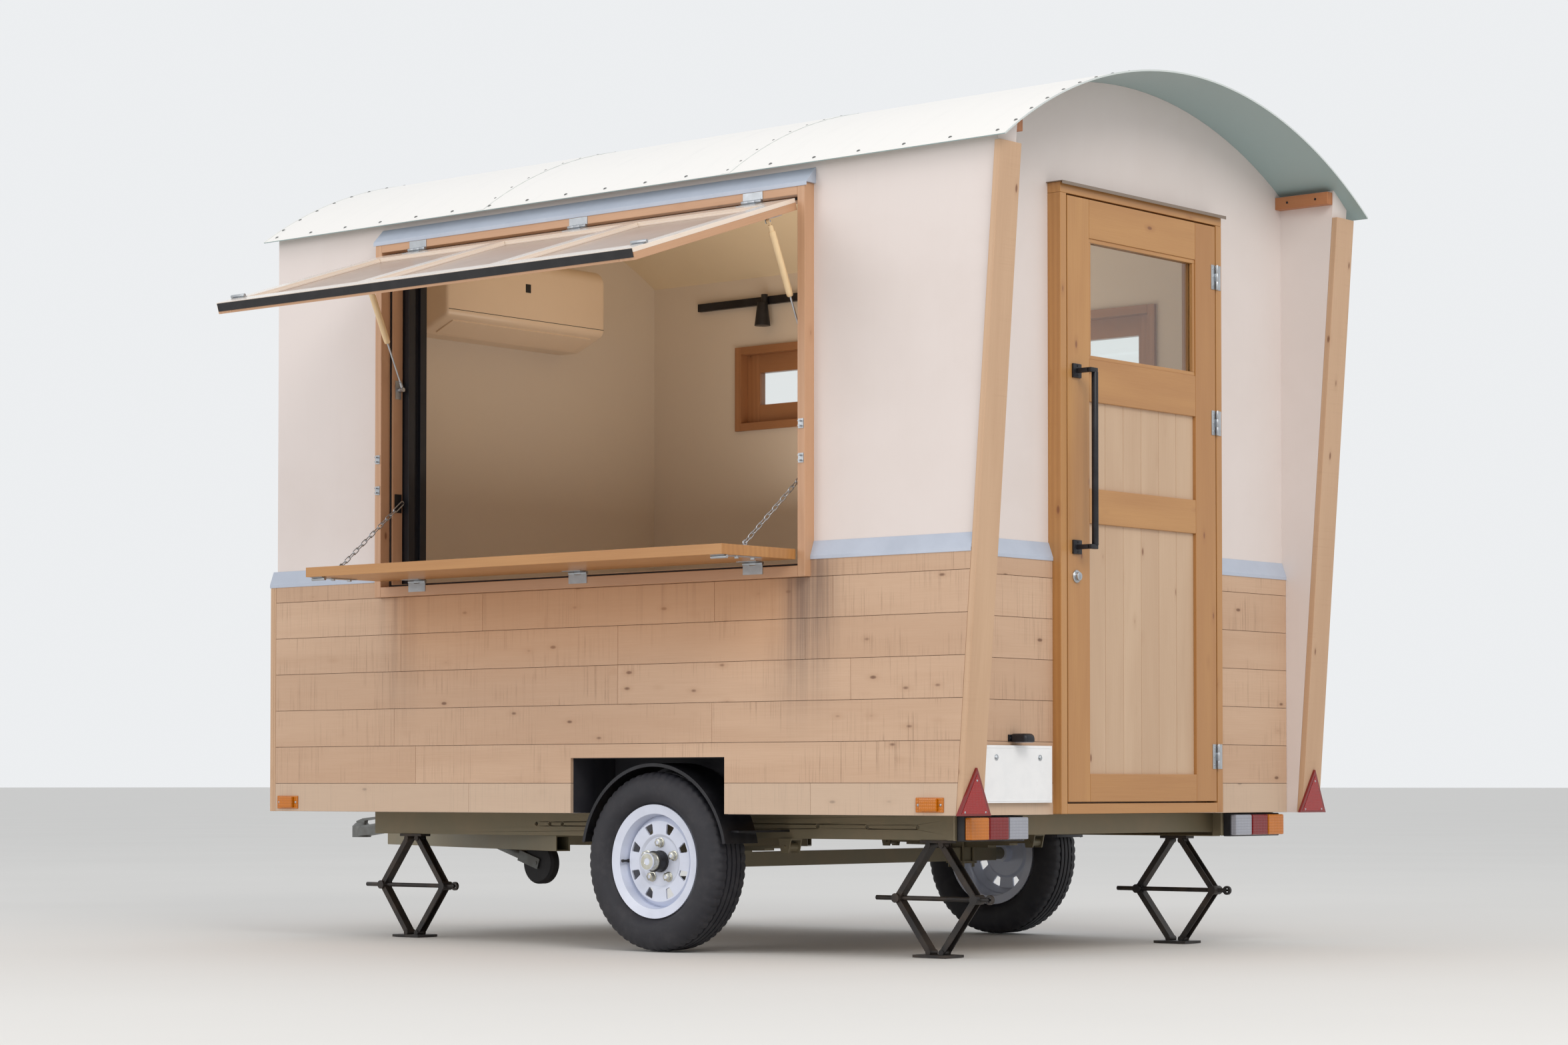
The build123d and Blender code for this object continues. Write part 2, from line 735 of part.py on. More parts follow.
# Fittings on the casing: strut and chain plates on the stops, hinge leaves and bolt keepers
keeper_heights = (counter_axis_z + counter_edge + counter_len - 26, awning_z - awning_len + bolt_back)
with BuildPart() as hatch_hardware:
    for place, x in strut_places:
        away = -1 if place == "rear" else 1
        jamb_x = hatch_rear_x + stop_t if place == "rear" else hatch_front_x - stop_t
        low_x, high_x = sorted((jamb_x, jamb_x - away * pad_t))
        slab((low_x, strut_foot_y - 9, strut_foot_z - 30), (high_x, strut_foot_y + 15, strut_foot_z + 30))
        boss_end = x + away * (eye_t / 2 + seat)
        with Locations(Location(((jamb_x + boss_end) / 2, strut_foot_y, strut_foot_z), (0, 90, 0))):
            Cylinder(eye_r, abs(jamb_x - boss_end))
        slab((low_x, chain_hook_y - 15, chain_hook_z - 30), (high_x, chain_hook_y + 15, chain_hook_z + 30))
        pin_end = x - away * (hook_wire + chain_inset - strut_inset)
        with Locations(Location(((jamb_x + pin_end) / 2, chain_hook_y, chain_hook_z), (0, 90, 0))):
            Cylinder(hook_pin_r, abs(jamb_x - pin_end))
        board_x = x + away * (strut_inset + casing_t / 2)
        for z in keeper_heights:
            slab((board_x - 10, casing_y, z - 14), (board_x + 10, casing_y + 2, z + 14))
            slab((board_x - 4, casing_y + 2, z - 9), (board_x + 4, casing_y + 12, z - 5.5))
            slab((board_x - 4, casing_y + 2, z + 5.5), (board_x + 4, casing_y + 12, z + 9))
    for x in hinge_places:
        leaf_low_z = awning_z + tongue
        leaf_high_z = head_z + header_t - ledge_lip - 1
        slab((x - hinge_w / 2, casing_y, leaf_low_z), (x + hinge_w / 2, casing_y + hinge_leaf_t, leaf_high_z))
        knuckles((x, awning_y, awning_z), "X", fixed_spans)
        sill_leaf_z = counter_axis_z - tongue
        slab(
            (x - hinge_w / 2, casing_y, sill_leaf_z - hinge_leaf_w),
            (x + hinge_w / 2, casing_y + hinge_leaf_t, sill_leaf_z),
        )
        knuckles((x, casing_y, counter_axis_z), "X", fixed_spans)
        for low, high in fixed_spans:
            slab((x + low, casing_y, awning_z), (x + high, casing_y + hinge_leaf_t, leaf_low_z))
            slab((x + low, casing_y, sill_leaf_z), (x + high, casing_y + hinge_leaf_t, counter_axis_z))
save(hatch_hardware.part, "hatch_hardware")

# Door casing, leaf, glass and fittings
door_front_x = rear_x - door_proud
door_low_z = base_z + door_foot
door_top_z = base_z + door_head
leaf_half = door_w / 2 - door_casing_t - leaf_gap
leaf_low_z = door_low_z + door_casing_t + leaf_gap
leaf_top_z = door_top_z - door_casing_t - leaf_gap
with BuildPart() as door_casing:
    slab((door_front_x, -door_w / 2, door_low_z), (room_rear_x, door_w / 2, door_top_z))
    slab(
        (door_front_x - 1, -door_w / 2 + door_casing_t, door_low_z + door_casing_t),
        (room_rear_x + 1, door_w / 2 - door_casing_t, door_top_z - door_casing_t),
        Mode.SUBTRACT,
    )
    stop_x = door_front_x + leaf_t + leaf_gap
    slab(
        (stop_x, -door_w / 2 + door_casing_t - 1, door_low_z + door_casing_t - 1),
        (stop_x + 20, door_w / 2 - door_casing_t + 1, door_top_z - door_casing_t + 1),
    )
    slab(
        (stop_x - 1, -door_w / 2 + door_casing_t + 12, door_low_z + door_casing_t + 12),
        (stop_x + 21, door_w / 2 - door_casing_t - 12, door_top_z - door_casing_t - 12),
        Mode.SUBTRACT,
    )
save(door_casing.part, "door_casing")

# Openings of the leaf, from the top: glass, upper panel, lower panel
pane_drop = 150
pane_h = 358
upper_rail = 125
upper_panel_h = 257
lock_rail = 103
foot_rail = 82
pane_high = door_head - pane_drop
pane_low = pane_high - pane_h
upper_panel_high = pane_low - upper_rail
upper_panel_low = upper_panel_high - upper_panel_h
panel_rows = (
    # low, high above the body's underside
    (upper_panel_low, upper_panel_high),
    (door_foot + door_casing_t + leaf_gap + foot_rail, upper_panel_low - lock_rail),
)
panel_recess = 10
panel_boards = 6
board_groove = 3
bead_w = 12
bead_set = 3
glass_t = 5
leaf_front_x = door_front_x
leaf_back_x = leaf_front_x + leaf_t
opening_half = leaf_half - stile_w
with BuildPart() as door_leaf:
    slab((leaf_front_x, -leaf_half, leaf_low_z), (leaf_back_x, leaf_half, leaf_top_z))
    slab(
        (leaf_front_x - 1, -opening_half, base_z + pane_low),
        (leaf_back_x + 1, opening_half, base_z + pane_high),
        Mode.SUBTRACT,
    )
    for low, high in panel_rows:
        for near, far in ((leaf_front_x - 1, leaf_front_x + panel_recess), (leaf_back_x - panel_recess, leaf_back_x + 1)):
            slab((near, -opening_half, base_z + low), (far, opening_half, base_z + high), Mode.SUBTRACT)
        board_w = 2 * opening_half / panel_boards
        with BuildSketch(Plane.XY.offset(base_z + low)) as joints:
            for x in (leaf_front_x + panel_recess, leaf_back_x - panel_recess):
                for i in range(1, panel_boards):
                    with Locations((x, -opening_half + i * board_w)):
                        RegularPolygon(board_groove, 4)
        extrude(joints.sketch, amount=high - low, mode=Mode.SUBTRACT)
    middle_x = (leaf_front_x + leaf_back_x) / 2
    for near, far in (
        (leaf_front_x + bead_set, middle_x - glass_t / 2),
        (middle_x + glass_t / 2, leaf_back_x - bead_set),
    ):
        with BuildSketch(Plane.YZ.offset(near)) as beads:
            with Locations((0, base_z + (pane_low + pane_high) / 2)):
                Rectangle(2 * opening_half, pane_h)
                Rectangle(2 * (opening_half - bead_w), pane_h - 2 * bead_w, mode=Mode.SUBTRACT)
        extrude(beads.sketch, amount=far - near)
save(door_leaf.part, "door_leaf")

with BuildPart() as door_glass:
    slab(
        (middle_x - glass_t / 2, -opening_half, base_z + pane_low),
        (middle_x + glass_t / 2, opening_half, base_z + pane_high),
    )
save(door_glass.part, "door_glass")

handle_y = leaf_half - 64
handle_low = 787
handle_high = 1297
handle_r = 9
handle_stand = 52
bracket_y = leaf_half - 41
lock_height = 697
door_hinge_out = knuckle_r + seat
door_axis_x = door_front_x - door_hinge_out
door_axis_y = -(leaf_half + leaf_gap / 2)
door_hinge_heights = (174, door_head - 645, door_head - 193)
with BuildPart() as door_hardware:
    with Locations((leaf_front_x - handle_stand, handle_y, base_z + (handle_low + handle_high) / 2)):
        Cylinder(handle_r, handle_high - handle_low)
    for z in (base_z + handle_low - 4, base_z + handle_high + 4):
        slab((leaf_front_x - 8, bracket_y - 21, z - 21), (leaf_front_x, bracket_y + 21, z + 21))
        slab((leaf_front_x - handle_stand - 7, handle_y - 7, z - 7), (leaf_front_x - handle_stand + 7, bracket_y + 7, z + 7))
        slab((leaf_front_x - handle_stand, bracket_y - 7, z - 7), (leaf_front_x - 8, bracket_y + 7, z + 7))
    for radius, out in ((19, 5), (12, 14)):
        with Locations(Location((leaf_front_x - out / 2, bracket_y, base_z + lock_height), (0, 90, 0))):
            Cylinder(radius, out)
    for height in door_hinge_heights:
        z = base_z + height
        slab(
            (leaf_front_x - hinge_leaf_t, door_axis_y + tongue, z - hinge_w / 2),
            (leaf_front_x, door_axis_y + tongue + hinge_leaf_w - 6, z + hinge_w / 2),
        )
        slab((leaf_front_x - hinge_leaf_t, door_axis_y, z - third / 2), (leaf_front_x, door_axis_y + tongue, z + third / 2))
        knuckles((door_axis_x, door_axis_y, z), "Z", moving_spans)
save(door_hardware.part, "door_hardware")

with BuildPart() as door_hinges:
    for height in door_hinge_heights:
        z = base_z + height
        slab(
            (door_front_x - hinge_leaf_t, door_axis_y - tongue - hinge_leaf_w + 6, z - hinge_w / 2),
            (door_front_x, door_axis_y - tongue, z + hinge_w / 2),
        )
        for low, high in fixed_spans:
            slab((door_front_x - hinge_leaf_t, door_axis_y - tongue, z + low), (door_front_x, door_axis_y, z + high))
        knuckles((door_axis_x, door_axis_y, z), "Z", fixed_spans)
save(door_hinges.part, "door_hinges")

# Side windows
sash_w = 66
sash_side = 60
window_proud = 12
window_frame_t = 28
with BuildPart() as window_frames:
    for x in window_centres:
        low_z = base_z + window_low
        slab(
            (x - window_w / 2, -wall_y - window_proud, low_z),
            (x + window_w / 2, -inner_y + window_proud, low_z + window_h),
        )
        slab(
            (x - window_w / 2 + window_frame_t, -face_y - 20, low_z + window_frame_t),
            (x + window_w / 2 - window_frame_t, -inner_y + 20, low_z + window_h - window_frame_t),
            Mode.SUBTRACT,
        )
        middle_y = -(wall_y + inner_y) / 2
        slab(
            (x - window_w / 2 + window_frame_t, middle_y - 16, low_z + window_frame_t),
            (x + window_w / 2 - window_frame_t, middle_y + 16, low_z + window_h - window_frame_t),
        )
        slab(
            (x - window_w / 2 + sash_side + window_frame_t, middle_y - 20, low_z + window_frame_t + sash_w),
            (x + window_w / 2 - sash_side - window_frame_t, middle_y + 20, low_z + window_h - window_frame_t - sash_w),
            Mode.SUBTRACT,
        )
save(window_frames.part, "window_frames")

with BuildPart() as window_glass:
    for x in window_centres:
        low_z = base_z + window_low
        middle_y = -(wall_y + inner_y) / 2
        slab(
            (x - window_w / 2 + sash_side + window_frame_t, middle_y - 2.5, low_z + window_frame_t + sash_w),
            (x + window_w / 2 - sash_side - window_frame_t, middle_y + 2.5, low_z + window_h - window_frame_t - sash_w),
        )
save(window_glass.part, "window_glass")

# Chassis rails and cross members
rail_hole_r = 6
rail_holes = (939, 999, 1054, 2112, 2302, 2492)
with BuildPart() as chassis_rails:
    slab((rail_rear_x, rail_y - rail_w, rail_low_z), (rail_front_x, rail_y, rail_top_z))
    slab(
        (rail_rear_x - 1, rail_y - rail_w - 1, rail_low_z + rail_t),
        (rail_front_x + 1, rail_y - rail_t, rail_top_z - rail_t),
        Mode.SUBTRACT,
    )
    for back in rail_holes:
        with Locations(Location((front_x - back, rail_y, (rail_low_z + rail_top_z) / 2), (90, 0, 0))):
            Cylinder(rail_hole_r, 4 * rail_t, mode=Mode.SUBTRACT)
    mirror(about=Plane.XZ)
save(chassis_rails.part, "chassis_rails")

member_w = 40
member_h = 60
member_places = (0.0, 0.2, 0.46, 0.74, 1.0)
rail_span = rail_front_x - rail_rear_x - member_w
with BuildPart() as cross_members:
    for share in member_places:
        x = rail_rear_x + share * rail_span
        slab((x, -rail_y + rail_w, rail_top_z - member_h), (x + member_w, rail_y - rail_w, rail_top_z))
        slab(
            (x + rail_t, -rail_y + rail_w - 1, rail_top_z - member_h + rail_t),
            (x + member_w - rail_t, rail_y - rail_w + 1, rail_top_z - rail_t),
            Mode.SUBTRACT,
        )
save(cross_members.part, "cross_members")

# Drawbar: two square tubes under the rails that meet at the coupling
leg_len = hypot(leg_tip_x - leg_back_x, leg_back_y - leg_tip_y)
leg_angle = degrees(atan2(leg_tip_y - leg_back_y, leg_tip_x - leg_back_x))
with BuildPart() as drawbar_legs:
    leg_plane = Plane(
        origin=(leg_back_x, leg_back_y, rail_low_z - leg_size / 2),
        x_dir=(0, 0, 1),
        z_dir=(leg_tip_x - leg_back_x, leg_tip_y - leg_back_y, 0),
    )
    with BuildSketch(leg_plane):
        Rectangle(leg_size, leg_size)
        Rectangle(leg_size - 2 * rail_t, leg_size - 2 * rail_t, mode=Mode.SUBTRACT)
    extrude(amount=leg_len)
    slab((leg_tip_x - 300, -200, ground_z), (0, 3, base_z), Mode.SUBTRACT)
    mirror(about=Plane.XZ)
save(drawbar_legs.part, "drawbar_legs")

# Coupling head over the towing ball
ball_r = 25.4
head_r = 34
neck_w = 56
neck_h = 36
head_low = -16
head_h = 52
neck_back_x = -300
neck_front_x = leg_tip_x + 6
lever_w = 18
head_top = head_low + head_h
lever_outline = (
    # along the drawbar, height
    (head_r - 20, head_top - 12),
    (head_r - 14, head_top + 6),
    (-14, head_top + 16),
    (-118, head_top + 26),
    (-142, head_top + 14),
    (-136, head_top + 10),
    (-116, head_top + 19),
    (-24, head_top + 8),
    (-20, head_top - 12),
)


def neck_section(width):
    """Section of the neck: a bar with cut corners."""
    corner = neck_h / 5
    across, up = width / 2, neck_h / 2
    Polygon(
        (-across, -up), (across, -up), (across, up - corner), (across - corner, up),
        (corner - across, up), (-across, up - corner),
        align=None,
    )


with BuildPart() as coupling_head:
    with Locations((0, 0, head_low + head_h / 2)):
        Cylinder(head_r, head_h)
    chamfer(coupling_head.edges().filter_by(GeomType.CIRCLE).sort_by(Axis.Z)[-1], 12)
    with BuildSketch(Plane.YZ.offset(neck_back_x)):
        with Locations((0, rail_low_z + neck_h / 2)):
            neck_section(neck_w)
    extrude(amount=neck_front_x - neck_back_x)
    with BuildSketch(Plane.YZ.offset(neck_front_x)):
        with Locations((0, rail_low_z + neck_h / 2)):
            neck_section(neck_w)
    with BuildSketch(Plane.YZ.offset(-10)):
        with Locations((0, head_low + 4 + neck_h / 2)):
            neck_section(2 * head_r - 6)
    loft()
    with BuildSketch(Plane.XZ.offset(-lever_w / 2)) as lever:
        Polygon(*lever_outline, align=None)
    extrude(lever.sketch, amount=lever_w)
    with Locations((0, 0, head_low + 10)):
        Cylinder(ball_r, 20, mode=Mode.SUBTRACT)
    with Locations((0, 0, head_low + 20 + 7)):
        Cone(ball_r, ball_r - 14, 14, mode=Mode.SUBTRACT)
save(coupling_head.part, "coupling_head")

# Axle, springs and hangers
beam = 45
spring_t = 21
spring_half = 300
spring_w = 45
leaf_spring_t = 7
leaf_halves = (spring_half, 216, 128)
spring_eye_r = 13
hanger_t = 5
hanger_half = 24
hanger_drop = 44
u_bolt_r = 5
u_bolt_gap = 0.6
spring_y = rail_y - rail_w / 2
spring_z = axle_z + beam / 2 + spring_t / 2
with BuildPart() as axle_beam:
    slab((axle_x - beam / 2, -wheel_y + 60, axle_z - beam / 2), (axle_x + beam / 2, wheel_y - 60, axle_z + beam / 2))
    for side in (-1, 1):
        with Locations(Location((axle_x, side * (wheel_y - 40), axle_z), (90, 0, 0))):
            Cylinder(20, 60)
save(axle_beam.part, "axle_beam")

eye_z = rail_low_z - hanger_drop + spring_eye_r + 5
with BuildPart() as leaf_springs:
    # Three leaves, the longest on top, each a shallow bow down to the axle
    top_low_z = axle_z + beam / 2 + seat + spring_t - leaf_spring_t
    sag = eye_z - leaf_spring_t / 2 - top_low_z
    for i, half in enumerate(leaf_halves):
        mid_z = top_low_z - i * leaf_spring_t
        end_z = mid_z + sag * (half / spring_half) ** 2
        with BuildSketch(Plane.XZ.offset(-(spring_y + spring_w / 2))) as leaf:
            with BuildLine():
                low = ThreePointArc((axle_x - half, end_z), (axle_x, mid_z), (axle_x + half, end_z))
                high = ThreePointArc(
                    (axle_x - half, end_z + leaf_spring_t),
                    (axle_x, mid_z + leaf_spring_t),
                    (axle_x + half, end_z + leaf_spring_t),
                )
                Line(low @ 0, high @ 0)
                Line(low @ 1, high @ 1)
            make_face()
        extrude(leaf.sketch, amount=spring_w)
    # Hangers under the rail, with the eyes between their cheeks
    cheek_y = spring_w / 2 + hanger_t
    for x in (axle_x - spring_half, axle_x + spring_half):
        slab((x - hanger_half, spring_y - cheek_y, rail_low_z - hanger_t), (x + hanger_half, spring_y + cheek_y, rail_low_z))
        for side in (-1, 1):
            with BuildSketch(Plane.XZ.offset(-(spring_y + (side * cheek_y if side > 0 else -spring_w / 2)))) as cheek:
                Polygon(
                    (x - hanger_half, rail_low_z), (x - 14, rail_low_z - hanger_drop), (x + 14, rail_low_z - hanger_drop),
                    (x + hanger_half, rail_low_z),
                    align=None,
                )
            extrude(cheek.sketch, amount=hanger_t)
        with Locations(Location((x, spring_y, eye_z), (90, 0, 0))):
            Cylinder(spring_eye_r, spring_w)
            Cylinder(6, 2 * cheek_y + 14)
    # Clamp plates under the axle, and the bolts that hold the leaves down
    plate_y = spring_w / 2 + 2 * u_bolt_r + 4
    plate_x = beam / 2 + 2 * u_bolt_r + 4
    axle_low_z = axle_z - beam / 2
    slab(
        (axle_x - plate_x, spring_y - plate_y, axle_low_z - 8),
        (axle_x + plate_x, spring_y + plate_y, axle_low_z),
    )
    bolt_top_z = top_low_z + leaf_spring_t
    for end in (-1, 1):
        bolt_x = axle_x + end * (beam / 2 + u_bolt_gap + u_bolt_r)
        for side in (-1, 1):
            with Locations((bolt_x, spring_y + side * (spring_w / 2 + u_bolt_r), (axle_low_z - 20 + bolt_top_z) / 2)):
                Cylinder(u_bolt_r, bolt_top_z - axle_low_z + 20)
        with Locations(Location((bolt_x, spring_y, bolt_top_z + u_bolt_r - 1), (90, 0, 0))):
            Cylinder(u_bolt_r, spring_w + 4 * u_bolt_r)
    mirror(about=Plane.XZ)
save(leaf_springs.part, "leaf_springs")

# Mudguards: round strips over the tyres
fender_start = 11
fender_lip = 8
with BuildPart() as mudguards:
    with BuildSketch(Plane.XZ.offset(-(wheel_y + tyre_w / 2 - 12))):
        with BuildLine():
            outer = CenterArc((axle_x, axle_z), fender_r + fender_t, fender_start, 180 - 2 * fender_start)
            inner = CenterArc((axle_x, axle_z), fender_r, fender_start, 180 - 2 * fender_start)
            Line(outer @ 0, inner @ 0)
            Line(outer @ 1, inner @ 1)
        make_face()
    extrude(amount=tyre_w - 6)
    with BuildSketch(Plane.XZ.offset(-(wheel_y + tyre_w / 2 - 12))) as lip:
        with BuildLine():
            outer = CenterArc((axle_x, axle_z), fender_r + 1, fender_start, 180 - 2 * fender_start)
            inner = CenterArc((axle_x, axle_z), fender_r - fender_lip, fender_start, 180 - 2 * fender_start)
            Line(outer @ 0, inner @ 0)
            Line(outer @ 1, inner @ 1)
        make_face()
    extrude(lip.sketch, amount=fender_t)
    for x in (axle_x - fender_r - 1, axle_x + fender_r + 1):
        slab((x - 18, rail_y, rail_low_z + 20), (x + 18, wheel_y + 30, rail_low_z + 26))
    mirror(about=Plane.XZ)
save(mudguards.part, "mudguards")

# Wheels
rim_r = 172
bead_r = 152
bead_half = 52
hub_r = 30
stud_circle = 57.15
disc_out = 28
disc_t = 6
disc_flat_r = 74
window_ring_r = 102
window_count = 8
window_shape = (
    # out from the ring, to the side
    (-15, -8),
    (15, -17),
    (15, 17),
    (-15, 8),
)
window_corner = 4
nut_count = 5
nut_r = 11
nut_h = 15
sleeve_out = 62
cap_r = 26
for name, side in (("left", 1), ("right", -1)):
    with BuildPart() as tyre:
        with BuildSketch(Plane.XY):
            with BuildLine():
                half = tyre_w / 2
                Polyline(
                    (bead_r, -bead_half),
                    (rim_r + 2, -bead_half),
                    (rim_r + 8, -half + 12),
                    (rim_r + 34, -half),
                    (tyre_r - 16, -half + 10),
                    (tyre_r - 3, -half + 24),
                    (tyre_r, 0),
                    (tyre_r - 3, half - 24),
                    (tyre_r - 16, half - 10),
                    (rim_r + 34, half),
                    (rim_r + 8, half - 12),
                    (rim_r + 2, bead_half),
                    (bead_r, bead_half),
                    close=True,
                )
            make_face()
        revolve(axis=Axis.Y)
    tyre_part = tyre.part.moved(Location((axle_x, side * wheel_y, axle_z)))
    save(tyre_part, f"tyre_{name}")

    with BuildPart() as rim:
        with BuildSketch(Plane.XY):
            with BuildLine():
                lip = bead_half + seat
                Polyline(
                    (rim_r, -lip - 7),
                    (rim_r, -lip),
                    (bead_r - seat, -lip),
                    (bead_r - seat, lip),
                    (rim_r, lip),
                    (rim_r, lip + 7),
                    (bead_r - 8, lip + 2),
                    (bead_r - 14, 10),
                    (bead_r - 14, -10),
                    (bead_r - 8, -lip - 2),
                    close=True,
                )
            make_face()
        revolve(axis=Axis.Y)
        with BuildSketch(Plane.XY):
            with BuildLine():
                Polyline(
                    (0, -10), (0, disc_out), (disc_flat_r, disc_out), (disc_flat_r + 8, disc_out + disc_t),
                    (bead_r - 30, disc_out + disc_t), (bead_r - 12, 12), (bead_r - 12, 2), (bead_r - 18, 4),
                    (bead_r - 33, disc_out), (disc_flat_r + 10, disc_out), (disc_flat_r + 2, disc_out - disc_t),
                    (hub_r, disc_out - disc_t), (hub_r, -10),
                    close=True,
                )
            make_face()
        revolve(axis=Axis.Y)
        # Windows round the disc
        with BuildSketch(Plane.XZ.offset(-bead_half)) as windows:
            with PolarLocations(window_ring_r, window_count, start_angle=180 / window_count):
                Polygon(*window_shape, align=None)
            fillet(windows.vertices(), window_corner)
        extrude(windows.sketch, amount=bead_half, mode=Mode.SUBTRACT)
        # Nuts, the hub's sleeve and its cap
        with BuildSketch(Plane.XZ.offset(-disc_out - nut_h)) as nuts:
            with PolarLocations(stud_circle, nut_count, start_angle=90):
                RegularPolygon(nut_r, 6)
        extrude(nuts.sketch, amount=nut_h + 1)
        for radius, low, high in ((hub_r, disc_out - 1, sleeve_out), (cap_r, sleeve_out - 1, disc_out + sleeve_out)):
            with Locations(Location((0, (low + high) / 2, 0), (90, 0, 0))):
                Cylinder(radius, high - low)
    rim_part = rim.part if side > 0 else rim.part.rotate(Axis.Z, 180)
    save(rim_part.moved(Location((axle_x, side * wheel_y, axle_z))), f"rim_{name}")

# Scissor jacks under the rails
jack_foot_w = 90
jack_arm_w = 30
jack_arm_t = 4
jack_arm_d = 18
jack_half = 144
jack_mid_z = (rail_low_z + ground_z) / 2
jack_places = (
    # name, x, side
    ("rear_left", rail_rear_x + 151, 1),
    ("rear_right", rail_rear_x + 151, -1),
    ("front_left", rail_front_x - 173, 1),
    ("front_right", rail_front_x - 173, -1),
)
jack_pivot = 24
for name, x, side in jack_places:
    centre_y = side * (rail_y - rail_w / 2)
    with BuildPart() as jack:
        slab((x - 50, centre_y - 22, rail_low_z - 8), (x + 50, centre_y + 22, rail_low_z))
        slab((x - 60, centre_y - jack_foot_w / 2, ground_z), (x + 60, centre_y + jack_foot_w / 2, ground_z + 8))
        for end in (-1, 1):
            for low_z, high_z in ((ground_z + 14, jack_mid_z), (rail_low_z - 14, jack_mid_z)):
                start = Vector(x + end * jack_pivot, centre_y, low_z)
                finish = Vector(x + end * jack_half, centre_y, high_z)
                arm = Plane(origin=start, x_dir=(0, 1, 0), z_dir=finish - start)
                inward = -end if low_z < high_z else end
                with BuildSketch(arm) as channel:
                    Rectangle(jack_arm_w, jack_arm_d)
                    with Locations((0, inward * jack_arm_t / 2)):
                        Rectangle(jack_arm_w - 2 * jack_arm_t, jack_arm_d - jack_arm_t, mode=Mode.SUBTRACT)
                extrude(channel.sketch, amount=(finish - start).length)
            with Locations(Location((x + end * jack_half, centre_y, jack_mid_z), (90, 0, 0))):
                Cylinder(14, jack_arm_w + 14)
            for z in (ground_z + 14, rail_low_z - 14):
                with Locations(Location((x + end * jack_pivot, centre_y, z), (90, 0, 0))):
                    Cylinder(9, jack_arm_w + 8)
        with Locations(Location((x + 20, centre_y, jack_mid_z), (0, 90, 0))):
            Cylinder(7, 2 * jack_half + 130)
        with Locations(Location((x - jack_half - 45, centre_y, jack_mid_z), (90, 0, 0))):
            Cylinder(14, 9)
            Cylinder(7, 12, mode=Mode.SUBTRACT)
    save(jack.part, f"jack_{name}")

# Swing-up jockey wheel on the drawbar
jockey_x = -949
jockey_y = 272
jockey_z = rail_low_z - leg_size / 2 - 5
jockey_wheel_x = -1171
jockey_wheel_z = -88
jockey_r = 70
jockey_w = 42
post_r = 19
post_top = 20
jockey_pin_r = 8
jockey_len = hypot(jockey_x - jockey_wheel_x, jockey_z - jockey_wheel_z)
with BuildPart() as jockey_post:
    start = Vector(jockey_x, jockey_y, jockey_z)
    finish = Vector(jockey_wheel_x, jockey_y, jockey_wheel_z)
    post_plane = Plane(origin=start, x_dir=(0, 1, 0), z_dir=finish - start)
    with BuildSketch(post_plane.offset(-post_top)):
        Circle(post_r)
    extrude(amount=post_top + jockey_len - jockey_r - 10)
    with Locations(Location((jockey_x, jockey_y, jockey_z), (90, 0, 0))):
        Cylinder(jockey_pin_r + pin_fit, 4 * post_r, mode=Mode.SUBTRACT)
    for side in (-1, 1):
        with BuildSketch(post_plane.offset(jockey_len - jockey_r - 14)):
            with Locations((side * (jockey_w / 2 + 5), 0)):
                Rectangle(5, 36)
        extrude(amount=jockey_r + 26)
    with BuildSketch(post_plane.offset(jockey_len - jockey_r - 14)):
        Rectangle(jockey_w + 15, 36)
    extrude(amount=6)
    with Locations(Location((jockey_wheel_x, jockey_y, jockey_wheel_z), (90, 0, 0))):
        Cylinder(6, jockey_w + 20)
save(jockey_post.part, "jockey_post")

with BuildPart() as jockey_wheel:
    with Locations(Location((jockey_wheel_x, jockey_y, jockey_wheel_z), (90, 0, 0))):
        Cylinder(jockey_r, jockey_w)
        Cylinder(6 + pin_fit, 100, mode=Mode.SUBTRACT)
    chamfer(jockey_wheel.edges().filter_by(GeomType.CIRCLE).sort_by(SortBy.RADIUS)[-2:], 8)
save(jockey_wheel.part, "jockey_wheel")

leg_y_at_jockey = leg_back_y + (leg_tip_y - leg_back_y) * (jockey_x - leg_back_x) / (leg_tip_x - leg_back_x)
with BuildPart() as jockey_bracket:
    cheek = post_r + 3
    for side in (-1, 1):
        low_y, high_y = sorted((jockey_y + side * cheek, jockey_y + side * (cheek + 5)))
        slab((jockey_x - 22, low_y, jockey_z - 18), (jockey_x + 22, high_y, rail_low_z + 6))
    slab((jockey_x - 22, jockey_y - cheek - 5, rail_low_z), (jockey_x + 22, leg_y_at_jockey, rail_low_z + 6))
    with Locations(Location((jockey_x, jockey_y, jockey_z), (90, 0, 0))):
        Cylinder(jockey_pin_r, 2 * cheek + 18)
save(jockey_bracket.part, "jockey_bracket")

# Lamps, reflectors and number plate
lamp_inset = 15
lamp_w = 280
lamp_outer_y = inner_y - lamp_inset
lamp_inner_y = lamp_outer_y - lamp_w
lens_groove = 2
lamp_h = 72
lamp_d = 48
with BuildPart() as tail_lamps:
    slab((rear_x, lamp_inner_y, base_z - lamp_h - 2), (rear_x + lamp_d, lamp_outer_y, base_z - 2))
    chamfer(tail_lamps.edges().filter_by(Axis.X), 8)
    for i in (1, 2):
        joint = lamp_inner_y + i * lamp_w / 3
        slab(
            (rear_x - 1, joint - lens_groove / 2, base_z - lamp_h - 3),
            (rear_x + lens_groove, joint + lens_groove / 2, base_z),
            Mode.SUBTRACT,
        )
    mirror(about=Plane.XZ)
save(tail_lamps.part, "tail_lamps")

